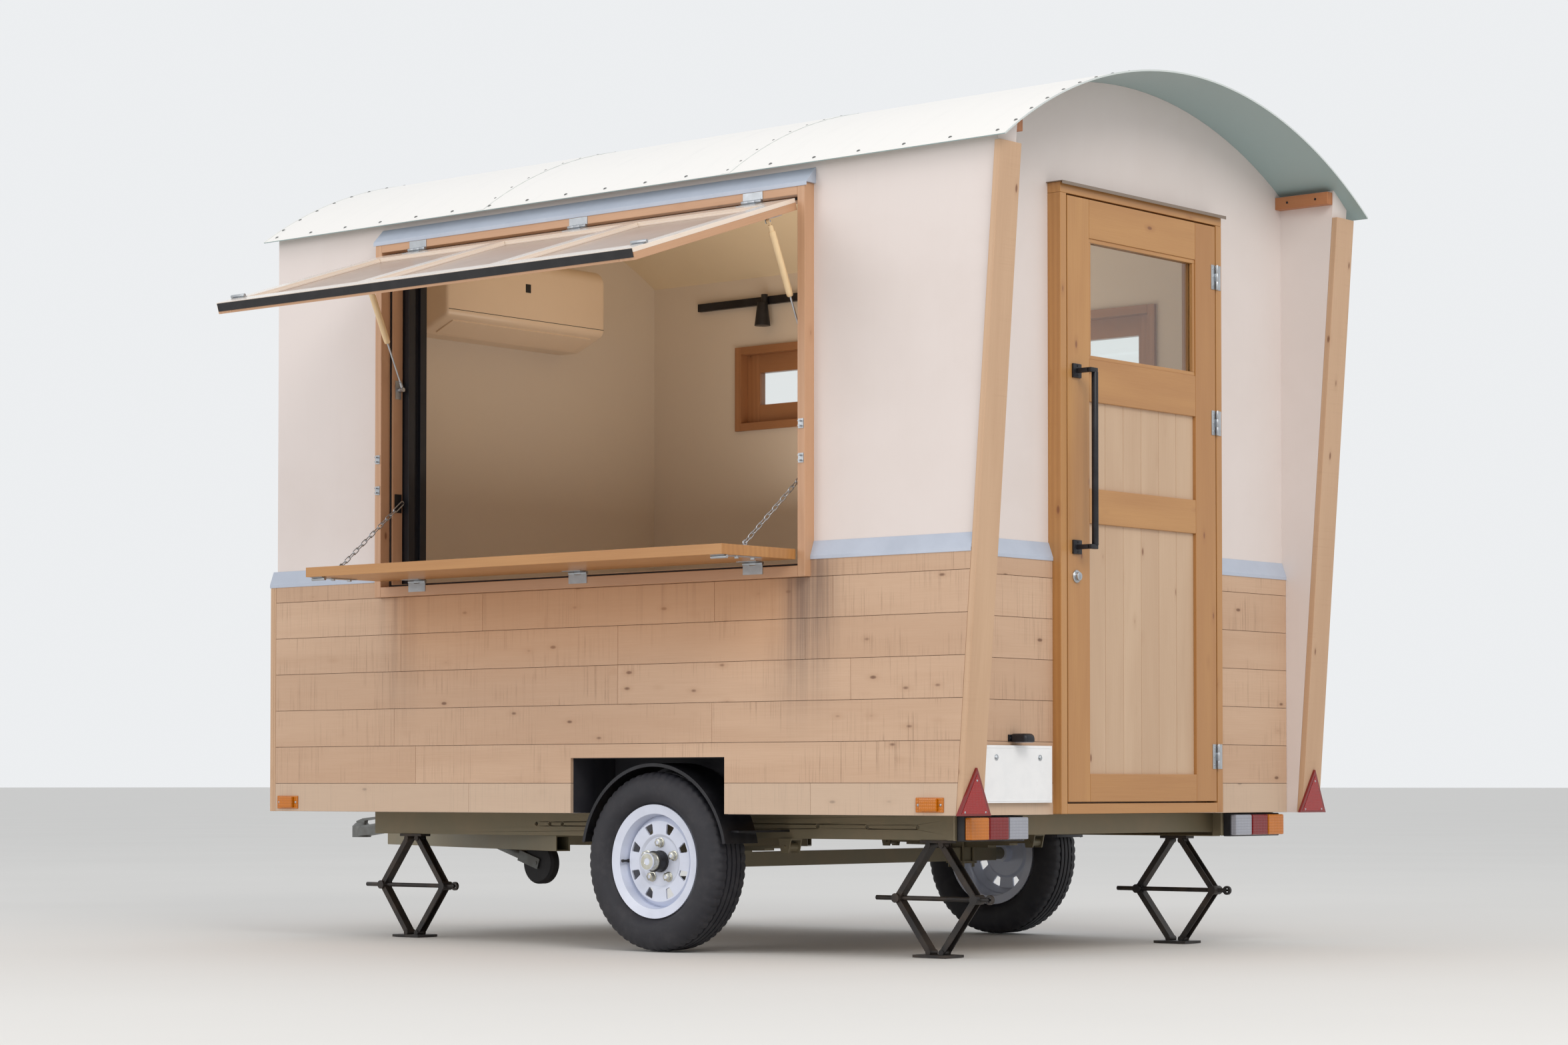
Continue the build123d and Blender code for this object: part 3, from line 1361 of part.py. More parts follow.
with BuildPart() as lamp_brackets:
    slab((rear_x + lamp_d, lamp_inner_y - 10, base_z - lamp_h), (rear_x + lamp_d + 4, lamp_outer_y + 10, base_z))
    slab((rear_x + lamp_d, rail_y - rail_w - 6, base_z - lamp_h), (rail_rear_x, rail_y - rail_w, base_z))
    mirror(about=Plane.XZ)
save(lamp_brackets.part, "lamp_brackets")

triangle_w = 155
triangle_h = 136
triangle_t = 9
board_mid_y = (face_y + inner_y) / 2
edge_tilt = Vector(wing_x(base_z + 1000) - wing_x(base_z), 0, 1000).normalized()
with BuildPart() as rear_triangles:
    face_plane = Plane(
        origin=(wing_x(base_z), board_mid_y, base_z),
        x_dir=(0, 1, 0),
        z_dir=(-edge_tilt.Z, 0, edge_tilt.X),
    )
    with BuildSketch(face_plane):
        with BuildLine():
            Polyline((-triangle_w / 2, 0), (triangle_w / 2, 0), (0, -triangle_h), close=True)
        make_face()
    extrude(amount=triangle_t)
    mirror(about=Plane.XZ)
save(rear_triangles.part, "rear_triangles")

marker_inset_front = 90
marker_inset_rear = 54
marker_places = (front_x - marker_inset_front, rear_x + marker_inset_rear)
marker_w = 99
marker_h = 42
marker_low = 9
marker_t = 14
with BuildPart() as side_markers:
    for x in marker_places:
        slab(
            (x - marker_w / 2, face_y, base_z + marker_low),
            (x + marker_w / 2, face_y + marker_t, base_z + marker_low + marker_h),
        )
    mirror(about=Plane.XZ)
save(side_markers.part, "side_markers")

plate_w = 330
plate_h = 165
plate_inset = 60
plate_y = inner_y - plate_inset - plate_w / 2
plate_low = 35
plate_t = 2
plate_stand = 12
with BuildPart() as number_plate:
    slab(
        (rear_x - plate_stand - plate_t, plate_y - plate_w / 2, base_z + plate_low),
        (rear_x - plate_stand, plate_y + plate_w / 2, base_z + plate_low + plate_h),
    )
    for y in (plate_y - 105, plate_y + 105):
        slab((rear_x - plate_stand, y - 10, base_z + plate_low + 120), (rear_x, y + 10, base_z + plate_low + 140))
save(number_plate.part, "number_plate")

with BuildPart() as plate_lamp:
    lamp_z = base_z + plate_low + plate_h + 8
    slab((rear_x - 60, plate_y - 32, lamp_z), (rear_x, plate_y + 32, lamp_z + 26))
    fillet(plate_lamp.edges().filter_by(Axis.Y), 8)
save(plate_lamp.part, "plate_lamp")

# Fittings in the room
cooler_w = 780
cooler_h = 282
cooler_d = 210
cooler_y = 40
cooler_drop = 265
cooler_low = eave_height - cooler_drop
with BuildPart() as air_conditioner:
    slab(
        (room_front_x - cooler_d, cooler_y - cooler_w / 2, base_z + cooler_low),
        (room_front_x, cooler_y + cooler_w / 2, base_z + cooler_low + cooler_h),
    )
    fillet(air_conditioner.edges().filter_by(Axis.Y).sort_by(Axis.X)[:2], 30)
    slab(
        (room_front_x - cooler_d - 1, cooler_y - cooler_w / 2 + 60, base_z + cooler_low + 34),
        (room_front_x - cooler_d + 18, cooler_y + cooler_w / 2 - 60, base_z + cooler_low + 74),
        Mode.SUBTRACT,
    )
save(air_conditioner.part, "air_conditioner")

track_inset = 230
track_front_x = room_front_x - track_inset
track_len = 1700
track_h = 28
track_t = 18
track_drop = 65
track_z = base_z + eave_height - track_drop
spot_back = 330
spot_x = track_front_x - spot_back
spot_len = 84
with BuildPart() as light_track:
    slab((track_front_x - track_len, -inner_y, track_z - track_h / 2), (track_front_x, -inner_y + track_t, track_z + track_h / 2))
    with Locations((spot_x, -inner_y + track_t + 11, track_z)):
        Cylinder(12, 40)
    with Locations(Location((spot_x, -inner_y + track_t + 22, track_z - 52))):
        Cone(29, 18, spot_len)
save(light_track.part, "light_track")
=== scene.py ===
import logging
import math
import random
from collections.abc import Callable
from dataclasses import dataclass
from enum import Enum

import bmesh
import bpy
from mathutils import Matrix, Vector


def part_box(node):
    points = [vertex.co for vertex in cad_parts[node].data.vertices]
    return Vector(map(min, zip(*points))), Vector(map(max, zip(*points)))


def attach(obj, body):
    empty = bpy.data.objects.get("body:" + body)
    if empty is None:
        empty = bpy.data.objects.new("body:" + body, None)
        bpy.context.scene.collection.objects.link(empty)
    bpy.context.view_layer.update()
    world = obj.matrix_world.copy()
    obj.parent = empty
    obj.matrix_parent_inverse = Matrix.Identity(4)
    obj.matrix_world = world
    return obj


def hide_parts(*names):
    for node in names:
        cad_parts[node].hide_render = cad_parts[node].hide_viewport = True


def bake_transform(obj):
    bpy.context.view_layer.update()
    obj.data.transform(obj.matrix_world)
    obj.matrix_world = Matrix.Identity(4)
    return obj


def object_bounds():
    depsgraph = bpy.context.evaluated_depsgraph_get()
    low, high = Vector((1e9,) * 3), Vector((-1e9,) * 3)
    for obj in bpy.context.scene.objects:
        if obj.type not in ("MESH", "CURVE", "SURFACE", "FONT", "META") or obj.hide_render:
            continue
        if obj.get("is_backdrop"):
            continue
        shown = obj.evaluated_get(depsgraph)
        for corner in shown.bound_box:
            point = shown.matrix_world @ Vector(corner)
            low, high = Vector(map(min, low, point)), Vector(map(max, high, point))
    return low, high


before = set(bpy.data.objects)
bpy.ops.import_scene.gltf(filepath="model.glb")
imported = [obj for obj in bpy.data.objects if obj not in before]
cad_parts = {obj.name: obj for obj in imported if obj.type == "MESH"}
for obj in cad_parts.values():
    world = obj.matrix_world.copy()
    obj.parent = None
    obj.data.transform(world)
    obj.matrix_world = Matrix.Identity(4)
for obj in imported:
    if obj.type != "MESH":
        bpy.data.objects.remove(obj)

log = logging.getLogger("shop_trailer")

Colour = tuple[float, float, float, float]
Spot = tuple[float, float, float]
Outline = list[tuple[float, float]]

MM = 0.001
SEAM = 0.3
SIDES = (-1, 1)


class Body(str, Enum):
    """The moving bodies that pieces ride on."""

    TRAILER = "trailer"
    WHEEL_LEFT = "wheel_left"
    WHEEL_RIGHT = "wheel_right"
    DOOR = "door"
    AWNING = "awning"
    STRUT_CYLINDER_REAR = "strut_cylinder_rear"
    STRUT_CYLINDER_FRONT = "strut_cylinder_front"
    STRUT_ROD_REAR = "strut_rod_rear"
    STRUT_ROD_FRONT = "strut_rod_front"
    COUNTER = "counter"


class Axis(Enum):
    """A direction of the trailer, as an index into a point."""

    X = 0
    Y = 1
    Z = 2


@dataclass(frozen=True)
class Plan:
    """Sizes of the trailer, in millimetres: X forward, Y to the hatch side, Z up, from the towing ball."""

    ground_z: float = -330.0
    base_z: float = 86.0
    face_y: float = 940.0
    wall_y: float = 924.0
    inner_y: float = 840.0
    front_x: float = -566.0
    rear_x: float = -3392.0
    front_wall_x: float = -582.0
    rear_wall_x: float = -3376.0
    room_front_x: float = -666.0
    room_rear_x: float = -3292.0
    wing_foot: float = 57.0
    wing_lean: float = 140.0
    edge_board_t: float = 20.0
    eave_height: float = 1893.0
    crown_height: float = 2197.0
    roof_half: float = 966.0
    roof_front_x: float = -554.0
    skin_t: float = 3.0
    corner_trim: float = 26.0
    cladding_h: float = 750.0
    first_plank: float = 92.0
    plank_pitch: float = 119.5
    hatch_rear_x: float = -2873.0
    hatch_front_x: float = -1122.0
    sill_z: float = 808.0
    head_z: float = 1888.0
    casing_t: float = 28.0
    header_t: float = 34.0
    sill_t: float = 32.0
    casing_y: float = 966.0
    axle_x: float = -2256.0
    axle_z: float = -58.0
    wheel_y: float = 845.5
    tyre_r: float = 272.0
    tyre_w: float = 155.0
    rim_r: float = 172.0
    arch: float = 313.0
    arch_h: float = 169.0
    door_w: float = 852.0
    door_head: float = 1850.0

    @property
    def roof_r(self) -> float:
        """Radius of the roof bow."""
        rise = self.crown_height - self.eave_height
        return (self.roof_half**2 + rise**2) / (2 * rise)

    @property
    def arc_z(self) -> float:
        """Height of the roof bow's centre."""
        return self.base_z + self.crown_height - self.roof_r

    def bow_z(self, y: float, below: float) -> float:
        """Height of the roof bow beside the middle, taken a little below its top."""
        return self.arc_z + math.sqrt((self.roof_r - below) ** 2 - y**2)

    def wing_x(self, z: float) -> float:
        """Rear face of the leaning edge boards at a height."""
        return self.rear_x - self.wing_foot - self.wing_lean * (z - self.base_z) / self.eave_height


PLAN = Plan()


def rgb(red: int, green: int, blue: int) -> Colour:
    """A display colour, 0 to 255, as a scene colour."""
    return tuple((c / 255) ** 2.2 for c in (red, green, blue)) + (1.0,)


def facing(spot: Spot, out: Spot) -> Matrix:
    """A frame at a spot whose Z axis points out."""
    return Matrix.Translation(spot) @ Vector(out).to_track_quat("Z", "Y").to_matrix().to_4x4()


def arc(across: float, up: float, radius: float, start: float, end: float, steps: int = 6) -> Outline:
    """Points of an arc about a centre, from one angle to another, in degrees."""
    turns = [math.radians(start + (end - start) * n / steps) for n in range(steps + 1)]
    return [(across + radius * math.cos(t), up + radius * math.sin(t)) for t in turns]


def rounded(low: float, high: float, insets: Outline) -> Outline:
    """Stations along a length, as (place, inset), where both ends are drawn in alike."""
    start = [(low + step, inset) for step, inset in insets]
    return start + [(high - step, inset) for step, inset in reversed(insets)]


def operator(operation: str, swapped: bool = False) -> Callable:
    """A method that adds a Math node.

    Args:
        operation: The node's operation.
        swapped: Whether the other value comes first.

    Returns:
        The method, for a value and another one.
    """

    def method(self: "Val", other: "Val | float" = 0.0) -> "Val":
        pair = {0: other, 1: self} if swapped else {0: self, 1: other}
        return self.book.value("ShaderNodeMath", {"operation": operation}, pair)

    return method


@dataclass(frozen=True, eq=False)
class Val:
    """A socket of a node tree that takes part in arithmetic."""

    book: "Book"
    socket: bpy.types.NodeSocket

    __add__ = __radd__ = operator("ADD")
    __sub__ = operator("SUBTRACT")
    __rsub__ = operator("SUBTRACT", swapped=True)
    __mul__ = __rmul__ = operator("MULTIPLY")
    __gt__ = operator("GREATER_THAN")
    __lt__ = operator("LESS_THAN")
    __abs__ = operator("ABSOLUTE")
    sine = operator("SINE")

    def wave(self) -> "Val":
        """Sine of the value, brought between 0 and 1."""
        return self.sine() * 0.5 + 0.5

    def band(self, low: float, high: float) -> "Val":
        """Runs smoothly from 0 at low to 1 at high; low may lie above high."""
        turned = low > high
        sockets = {"Value": self, "From Min": min(low, high), "From Max": max(low, high)}
        sockets |= {"To Min": float(turned), "To Max": float(not turned)}
        settings = {"interpolation_type": "SMOOTHSTEP", "clamp": True}
        return self.book.value("ShaderNodeMapRange", settings, sockets)


class Book:
    """One material's node tree, and every node that is added to it."""

    def __init__(self, name: str) -> None:
        """Starts an empty material."""
        self.material = bpy.data.materials.new(name)
        self.material.use_nodes = True
        self.tree = self.material.node_tree
        self.tree.nodes.clear()

    def value(
        self, kind: str, settings: dict | None = None, sockets: dict | None = None, out: str | int = 0
    ) -> Val:
        """Adds a node, sets it, then feeds its sockets.

        Args:
            kind: The node's type.
            settings: Properties of the node.
            sockets: Values or links, by the socket's name or index.
            out: The output's name or index.

        Returns:
            The output.
        """
        made = self.tree.nodes.new(kind)
        for key, setting in (settings or {}).items():
            setattr(made, key, setting)
        for key, fed in (sockets or {}).items():
            if isinstance(fed, Val):
                self.tree.links.new(fed.socket, made.inputs[key])
            else:
                made.inputs[key].default_value = fed
        return Val(self, made.outputs[out])

    def place(self) -> Val:
        """The point in the trailer's own frame."""
        return self.value("ShaderNodeTexCoord", out="Object")

    def grain(self) -> Val:
        """A board's own point: along, across and through it."""
        return self.value("ShaderNodeAttribute", {"attribute_name": "grain"}, out="Vector")

    def tone(self) -> Val:
        """A board's own random number."""
        return self.value("ShaderNodeAttribute", {"attribute_name": "tone"}, out="Fac")

    def part(self, point: Val, axis: Axis) -> Val:
        """One coordinate of a point."""
        return self.value("ShaderNodeSeparateXYZ", sockets={0: point}, out=axis.value)

    def stretch(self, point: Val, scale: Spot) -> Val:
        """A point with each coordinate scaled."""
        return self.value("ShaderNodeVectorMath", {"operation": "MULTIPLY"}, {0: point, 1: scale})

    def noise(
        self, point: Val, scale: float | Spot, detail: float = 3.0, rough: float = 0.5, warp: float = 0.0
    ) -> Val:
        """Soft noise between 0 and 1, with one scale, or with one along each axis."""
        if isinstance(scale, tuple):
            point, scale = self.stretch(point, scale), 1.0
        sockets = {"Vector": point, "Scale": scale, "Detail": detail, "Roughness": rough, "Distortion": warp}
        return self.value("ShaderNodeTexNoise", {}, sockets)

    def cells(self, point: Val, out: str) -> Val:
        """Distance to scattered points, or their random colours."""
        return self.value("ShaderNodeTexVoronoi", {}, {"Vector": point, "Scale": 1.0}, out)

    def mix(self, share: Val | float, first: Val | Colour, second: Val | Colour) -> Val:
        """A colour between two."""
        return self.value("ShaderNodeMix", {"data_type": "RGBA"}, {0: share, 6: first, 7: second}, 2)

    def bump(self, height: Val, depth: float, strength: float) -> Val:
        """A normal pushed about by a height, whose full depth is in metres."""
        sockets = {"Height": height, "Distance": depth, "Strength": strength}
        return self.value("ShaderNodeBump", {}, sockets)

    def close(self, sockets: dict) -> bpy.types.Material:
        """Ends the tree with a Principled shader.

        Args:
            sockets: The shader's values and links.

        Returns:
            The material.
        """
        shader = self.value("ShaderNodeBsdfPrincipled", {}, sockets)
        output = self.tree.nodes.new("ShaderNodeOutputMaterial")
        self.tree.links.new(shader.socket, output.inputs["Surface"])
        return self.material


@dataclass(frozen=True)
class Timber:
    """An oiled or varnished wood, seen board by board."""

    name: str
    light: Colour
    dark: Colour
    knot: Colour
    rough: float = 0.42
    coat: float = 0.25
    saw: float = 0.0
    knots: float = 0.24
    figure: float = 0.22
    spread: float = 0.30
    stained: bool = False
    fibre_share: float = 0.62
    broad_share: float = 0.36

    def build(self) -> bpy.types.Material:
        """Makes the wood: rings, fibres, knots, saw marks, and rain stains where they belong."""
        book = Book(self.name)
        point = book.grain()
        flow = book.noise(point, (0.8, 6.0, 6.0), 2.0, 0.5, 0.3)
        rings = (book.part(point, Axis.Y) * 330.0 + flow * 16.0).wave()
        fibres = book.noise(point, (7.0, 420.0, 420.0), 3.0, 0.6)
        broad = book.noise(point, (1.6, 16.0, 16.0), 3.0, 0.55, 0.6)
        share = rings * self.figure + fibres * (self.fibre_share - self.figure) + broad * self.broad_share
        plain = book.mix(share, self.light, self.dark)
        aged = book.mix(book.tone() * self.spread, plain, self.dark)
        spots = book.stretch(point, (8.0, 19.0, 19.0))
        far = book.cells(spots, "Distance")
        chosen = book.part(book.cells(spots, "Color"), Axis.X) > 1.0 - self.knots
        knot = far.band(0.13, 0.05) * chosen
        halo = far.band(0.34, 0.08) * chosen
        colour = book.mix(halo * 0.45, aged, self.dark)
        colour = book.mix(knot * 0.8, colour, self.knot)
        marks = book.noise(point, (170.0, 4.0, 4.0), 3.0, 0.65)
        if self.saw:
            patches = book.noise(point, (5.0, 9.0, 9.0), 2.0).band(0.38, 0.62)
            colour = book.mix(marks.band(0.50, 0.74) * patches * self.saw, colour, self.knot)
        if self.stained:
            colour = self.stains(book, colour)
        height = fibres * 0.6 + rings * 0.2 + marks * (0.4 * self.saw) - knot * 0.3
        return book.close(
            {
                "Base Color": colour,
                "Roughness": fibres * 0.16 + self.rough,
                "Coat Weight": self.coat,
                "Coat Roughness": 0.22,
                "Normal": book.bump(height, 0.0005, 0.5),
            }
        )

    @staticmethod
    def stains(book: Book, colour: Val) -> Val:
        """Dark rain runs under the ends of the hatch, warmer wood between them, and a paler bottom plank.

        Args:
            book: The wood's tree.
            colour: The clean wood.

        Returns:
            The stained wood.
        """
        spot = book.place()
        x, y, z = (book.part(spot, axis) for axis in Axis)
        near_side = y > 0.9
        rear_end, front_end = (PLAN.hatch_rear_x + 30) * MM, (PLAN.hatch_front_x - 45) * MM
        middle = -2.0
        runs = book.noise(spot, (42.0, 3.0, 0.7), 4.0, 0.7)
        fine = book.noise(spot, (190.0, 3.0, 2.0), 2.0, 0.6)
        ragged = book.noise(spot, (9.0, 3.0, 5.0)) * 0.05
        rear = abs(x - rear_end + ragged).band(0.17, 0.03) * 1.25
        front = abs(x - front_end + ragged).band(0.13, 0.01) * 0.7
        sill = z.band(0.56, 0.82) * abs(x - middle).band(0.92, 0.80) * 0.6
        wet = (rear + front) * z.band(0.22, 0.84) * (runs.band(0.30, 0.62) * 0.7 + 0.3)
        wet = (wet + sill * runs.band(0.52, 0.72)) * near_side
        colour = book.mix(wet * (fine * 0.5 + 0.35), colour, rgb(96, 80, 76))
        under = (x - rear_end).band(-0.06, 0.10) * (x - (PLAN.hatch_front_x - 20) * MM).band(0.06, -0.10)
        warm = z.band(0.42, 0.78) * under * near_side * 0.5
        colour = book.mix(warm, colour, rgb(204, 148, 100))
        seam = PLAN.base_z + PLAN.first_plank
        foot = z.band((seam + 4) * MM, (seam - 4) * MM)
        return book.mix(foot * 0.42, colour, rgb(205, 188, 168))


@dataclass(frozen=True)
class Paint:
    """A painted or coated surface, with a little unevenness and dust."""

    name: str
    colour: Colour
    worn: Colour
    rough: float = 0.5
    metallic: float = 0.0
    coat: float = 0.0
    wear: float = 0.5
    scale: float = 30.0
    grit: float = 0.0003
    streak: float = 0.0
    inside: Colour | None = None

    def build(self) -> bpy.types.Material:
        """Makes the coat: broad patches, fine grit, runs down the face, and another colour in the room."""
        book = Book(self.name)
        point = book.place()
        patch = book.noise(point, self.scale, 4.0, 0.6, 0.3)
        grit = book.noise(point, self.scale * 60, 2.0, 0.6)
        colour = book.mix(patch.band(0.35, 0.75) * self.wear, self.colour, self.worn)
        if self.streak:
            runs = book.noise(point, (38.0, 38.0, 1.2), 4.0, 0.7)
            colour = book.mix(runs.band(0.48, 0.8) * self.streak, colour, self.worn)
        if self.inside:
            x, y = book.part(point, Axis.X), book.part(point, Axis.Y)
            slack = 0.002
            within = (x > PLAN.room_rear_x * MM - slack) * (x < PLAN.room_front_x * MM + slack)
            within = within * (abs(y) < PLAN.inner_y * MM + slack)
            colour = book.mix(within, colour, book.mix(patch * 0.4, self.inside, self.worn))
        return book.close(
            {
                "Base Color": colour,
                "Roughness": patch * 0.18 + grit * 0.06 + (self.rough - 0.12),
                "Metallic": self.metallic,
                "Coat Weight": self.coat,
                "Coat Roughness": 0.15,
                "Normal": book.bump(grit * 0.5 + patch * 0.5, self.grit, 0.6),
            }
        )


@dataclass(frozen=True)
class Lens:
    """A moulded lamp lens, ribbed inside."""

    name: str
    colour: Colour
    ribs: float = 900.0

    def build(self) -> bpy.types.Material:
        """Makes the lens: a coloured gloss with fine ribs and a lighter core."""
        book = Book(self.name)
        point = book.place()
        x, y, z = (book.part(point, axis) for axis in Axis)
        ribs = ((y + x) * self.ribs).wave()
        rows = (z * (self.ribs * 0.8)).wave()
        cloud = book.noise(point, 30.0)
        pale = tuple(min(1.0, c * 1.45 + 0.015) for c in self.colour[:3]) + (1.0,)
        return book.close(
            {
                "Base Color": book.mix(ribs * rows * 0.5 + cloud * 0.2, self.colour, pale),
                "Roughness": cloud * 0.1 + 0.12,
                "Coat Weight": 0.2,
                "Coat Roughness": 0.04,
                "Normal": book.bump(ribs * 0.6 + rows * 0.4, 0.0008, 0.7),
            }
        )


class Finishes:
    """Every finish on the trailer, made once and found by name, and the record's slot that it stands for."""

    rows = (
        Timber("planks", rgb(216, 184, 156), rgb(186, 150, 122), rgb(104, 72, 54), rough=0.62, coat=0.0,
               saw=0.34, knots=0.34, figure=0.16, spread=0.55, stained=True),
        Timber("casing_wood", rgb(214, 171, 136), rgb(182, 136, 102), rgb(118, 70, 42)),
        Timber("varnished", rgb(198, 147, 88), rgb(162, 109, 61), rgb(118, 66, 34), rough=0.38, coat=0.35,
               knots=0.26, figure=0.26),
        Timber("panel_wood", rgb(211, 182, 152), rgb(184, 150, 120), rgb(120, 76, 48), rough=0.46, knots=0.30,
               figure=0.24, spread=0.34),
        Timber("edge_wood", rgb(212, 177, 144), rgb(186, 149, 118), rgb(112, 70, 46), rough=0.55,
               coat=0.08, saw=0.06),
        # Flap wood: golden wood paled to near white, a painted highlight of glare on its varnish.
        Timber("flap_wood_painted_glare", rgb(246, 233, 220), rgb(230, 211, 192), rgb(160, 124, 96), rough=0.20, coat=1.0,
               knots=0.20, figure=0.18),
        Timber("block_wood", rgb(196, 132, 88), rgb(160, 98, 60), rgb(96, 54, 34), rough=0.5, coat=0.15,
               knots=0.2, figure=0.26),
        Timber("window_wood", rgb(184, 130, 88), rgb(146, 98, 64), rgb(104, 60, 34), coat=0.3, knots=0.2,
               figure=0.26),
        Paint("cream_wall", rgb(225, 214, 209), rgb(214, 201, 194), 0.62, wear=0.35, scale=2.2, grit=0.0002,
              streak=0.10, inside=rgb(226, 212, 194)),
        Paint("olive_steel", rgb(122, 114, 92), rgb(138, 124, 100), metallic=0.2, wear=0.55, scale=7.0,
              grit=0.0006),
        Paint("zinc", rgb(188, 192, 196), rgb(150, 154, 158), 0.34, metallic=0.9),
        Paint("black_metal", rgb(34, 34, 38), rgb(62, 62, 66), 0.42, metallic=0.3, wear=0.35, scale=20.0),
        # Wheel rims: white, with a blue tint that is painted shade.
        Paint("wheel_white", rgb(218, 224, 240), rgb(190, 194, 208), 0.34, coat=0.4, wear=0.25, scale=14.0),
        Paint("jack_black", rgb(44, 42, 42), rgb(86, 72, 60), metallic=0.25, scale=16.0, grit=0.0006),
        Paint("room_lining", rgb(232, 212, 180), rgb(218, 196, 162), 0.7, wear=0.3, scale=1.6, grit=0.0002),
        Paint("appliance", rgb(238, 214, 188), rgb(224, 198, 170), 0.32, coat=0.2, wear=0.2, scale=3.0,
              grit=0.0001),
        Paint("strut_beige", rgb(238, 208, 162), rgb(214, 184, 138), 0.36, metallic=0.1, coat=0.4, wear=0.3),
        Paint("plate_white", rgb(240, 240, 240), rgb(220, 222, 224), 0.32, coat=0.3, wear=0.25, scale=20.0),
        Paint("seal_rubber", rgb(30, 29, 32), rgb(56, 54, 56), 0.62, wear=0.4, scale=25.0, grit=0.0004),
        Paint("hub_silver", rgb(206, 206, 196), rgb(158, 150, 128), 0.28, metallic=0.85, scale=40.0),
        Paint("grey_cast", rgb(120, 122, 120), rgb(86, 82, 76), metallic=0.6, scale=18.0, grit=0.0007),
        # Awning panels: clear panes given an opaque pinkish-brown, a painted reflection of the wall.
        Paint("infill_painted_reflection", rgb(178, 154, 138), rgb(154, 128, 110), 0.36, coat=0.25, scale=3.0, grit=0.0001),
        Paint("arch_black", rgb(48, 48, 54), rgb(84, 82, 80), 0.6, scale=5.0, grit=0.0006),
        Paint("reflector_rim", rgb(126, 18, 20), rgb(100, 24, 24), 0.34, coat=0.5, wear=0.4),
        Paint("ply_floor", rgb(176, 146, 108), rgb(148, 118, 84), 0.6, scale=5.0),
        Paint("screen_black", rgb(36, 38, 44), rgb(54, 56, 62), 0.4, metallic=0.2, wear=0.25, scale=9.0),
        Lens("amber_lens", rgb(184, 104, 8)),
        Lens("red_lens", rgb(116, 6, 10)),
        Lens("clear_lens", rgb(146, 148, 157)),
        Lens("red_reflector", rgb(146, 6, 6), 1600.0),
    )
    slots = {
        "cedar": ("planks", "edge_wood"),
        "golden_wood": ("casing_wood", "varnished", "panel_wood", "flap_wood_painted_glare", "block_wood", "window_wood"),
        "black_metal": ("black_metal", "arch_black", "screen_black"),
        "zinc": ("zinc", "grey_cast", "hub_silver"),
        "white_plastic": ("clear_lens", "appliance"),
        "roof_white": ("roof_sheet",),
        "rubber": ("seal_rubber",),
        "strut_body": ("strut_beige",),
        "tyre": ("tyre_rubber",),
        "plate": ("plate_white",),
        "amber": ("amber_lens",),
        "lamp": ("red_lens",),
        "red_reflector": ("red_reflector",),
    }

    def __init__(self) -> None:
        """Builds the finishes."""
        self.made = {row.name: row.build() for row in self.rows}
        for build in (self.roof_sheet, self.tyre_rubber, self.window_pane, self.jamb_steel, self.ledge_sheet):
            self.made[build.__name__] = build()
        self.slot_of = {finish: slot for slot, finishes in self.slots.items() for finish in finishes}

    def __getitem__(self, name: str) -> bpy.types.Material:
        """The material of a finish."""
        return self.made[name]

    @staticmethod
    def roof_sheet() -> bpy.types.Material:
        """Coated sheet: near white above; grey-green on its underside, darkened there as painted shade."""
        book = Book("roof_sheet")
        point = book.place()
        # Faces that look down take the grey-green backer colour, darkened as painted shade.
        under = book.part(book.value("ShaderNodeNewGeometry", out="True Normal"), Axis.Z).band(0.05, -0.05)
        dirt = book.noise(point, (26.0, 3.0, 3.0), 4.0, 0.65).band(0.5, 0.85)
        top = book.mix(dirt * 0.2, rgb(244, 241, 236), rgb(216, 216, 214))
        return book.close(
            {
                "Base Color": book.mix(under, top, rgb(156, 178, 178)),
                "Roughness": book.noise(point, 2.4, 4.0, 0.6, 0.4) * 0.15 + 0.34,
                "Metallic": 0.05,
                "Coat Weight": 0.15,
                "Coat Roughness": 0.2,
                "Normal": book.bump(book.noise(point, (1.2, 3.0, 3.0), 2.0), 0.004, 0.35),
            }
        )

    @staticmethod
    def tyre_rubber() -> bpy.types.Material:
        """Black rubber with patches of road dust and fine moulding rings."""
        book = Book("tyre_rubber")
        point = book.place()
        hub = (PLAN.axle_x * MM, 0.0, PLAN.axle_z * MM)
        centre = book.value("ShaderNodeVectorMath", {"operation": "SUBTRACT"}, {0: point, 1: hub})
        flat = book.stretch(centre, (1.0, 0.0, 1.0))
        radius = book.value("ShaderNodeVectorMath", {"operation": "LENGTH"}, {0: flat}, "Value")
        worn = book.noise(point, 22.0, 5.0, 0.65).band(0.42, 0.8)
        height = (radius * 2600.0).wave() * 0.3 + book.noise(point, 900.0, 2.0) * 0.5
        return book.close(
            {
                "Base Color": book.mix(worn * 0.35, rgb(40, 40, 46), rgb(88, 86, 88)),
                "Roughness": worn * 0.2 + 0.62,
                "Normal": book.bump(height, 0.0005, 0.5),
            }
        )

    @staticmethod
    def jamb_steel() -> bpy.types.Material:
        """Zinc of the hatch fittings, with the two plates that hold the chains in black."""
        book = Book("jamb_steel")
        point = book.place()
        y, z = book.part(point, Axis.Y), book.part(point, Axis.Z)
        foot, head = 1.045, 1.125
        plate = (z > foot) * (z < head) * (y < PLAN.face_y * MM)
        patch = book.noise(point, 30.0, 4.0, 0.6)
        bright = book.mix(patch, rgb(194, 198, 202), rgb(154, 158, 162))
        return book.close(
            {
                "Base Color": book.mix(plate, bright, rgb(32, 32, 36)),
                "Roughness": patch * 0.2 + 0.26,
                "Metallic": plate * -0.7 + 0.9,
                "Normal": book.bump(book.noise(point, 1500.0, 2.0), 0.0003, 0.5),
            }
        )

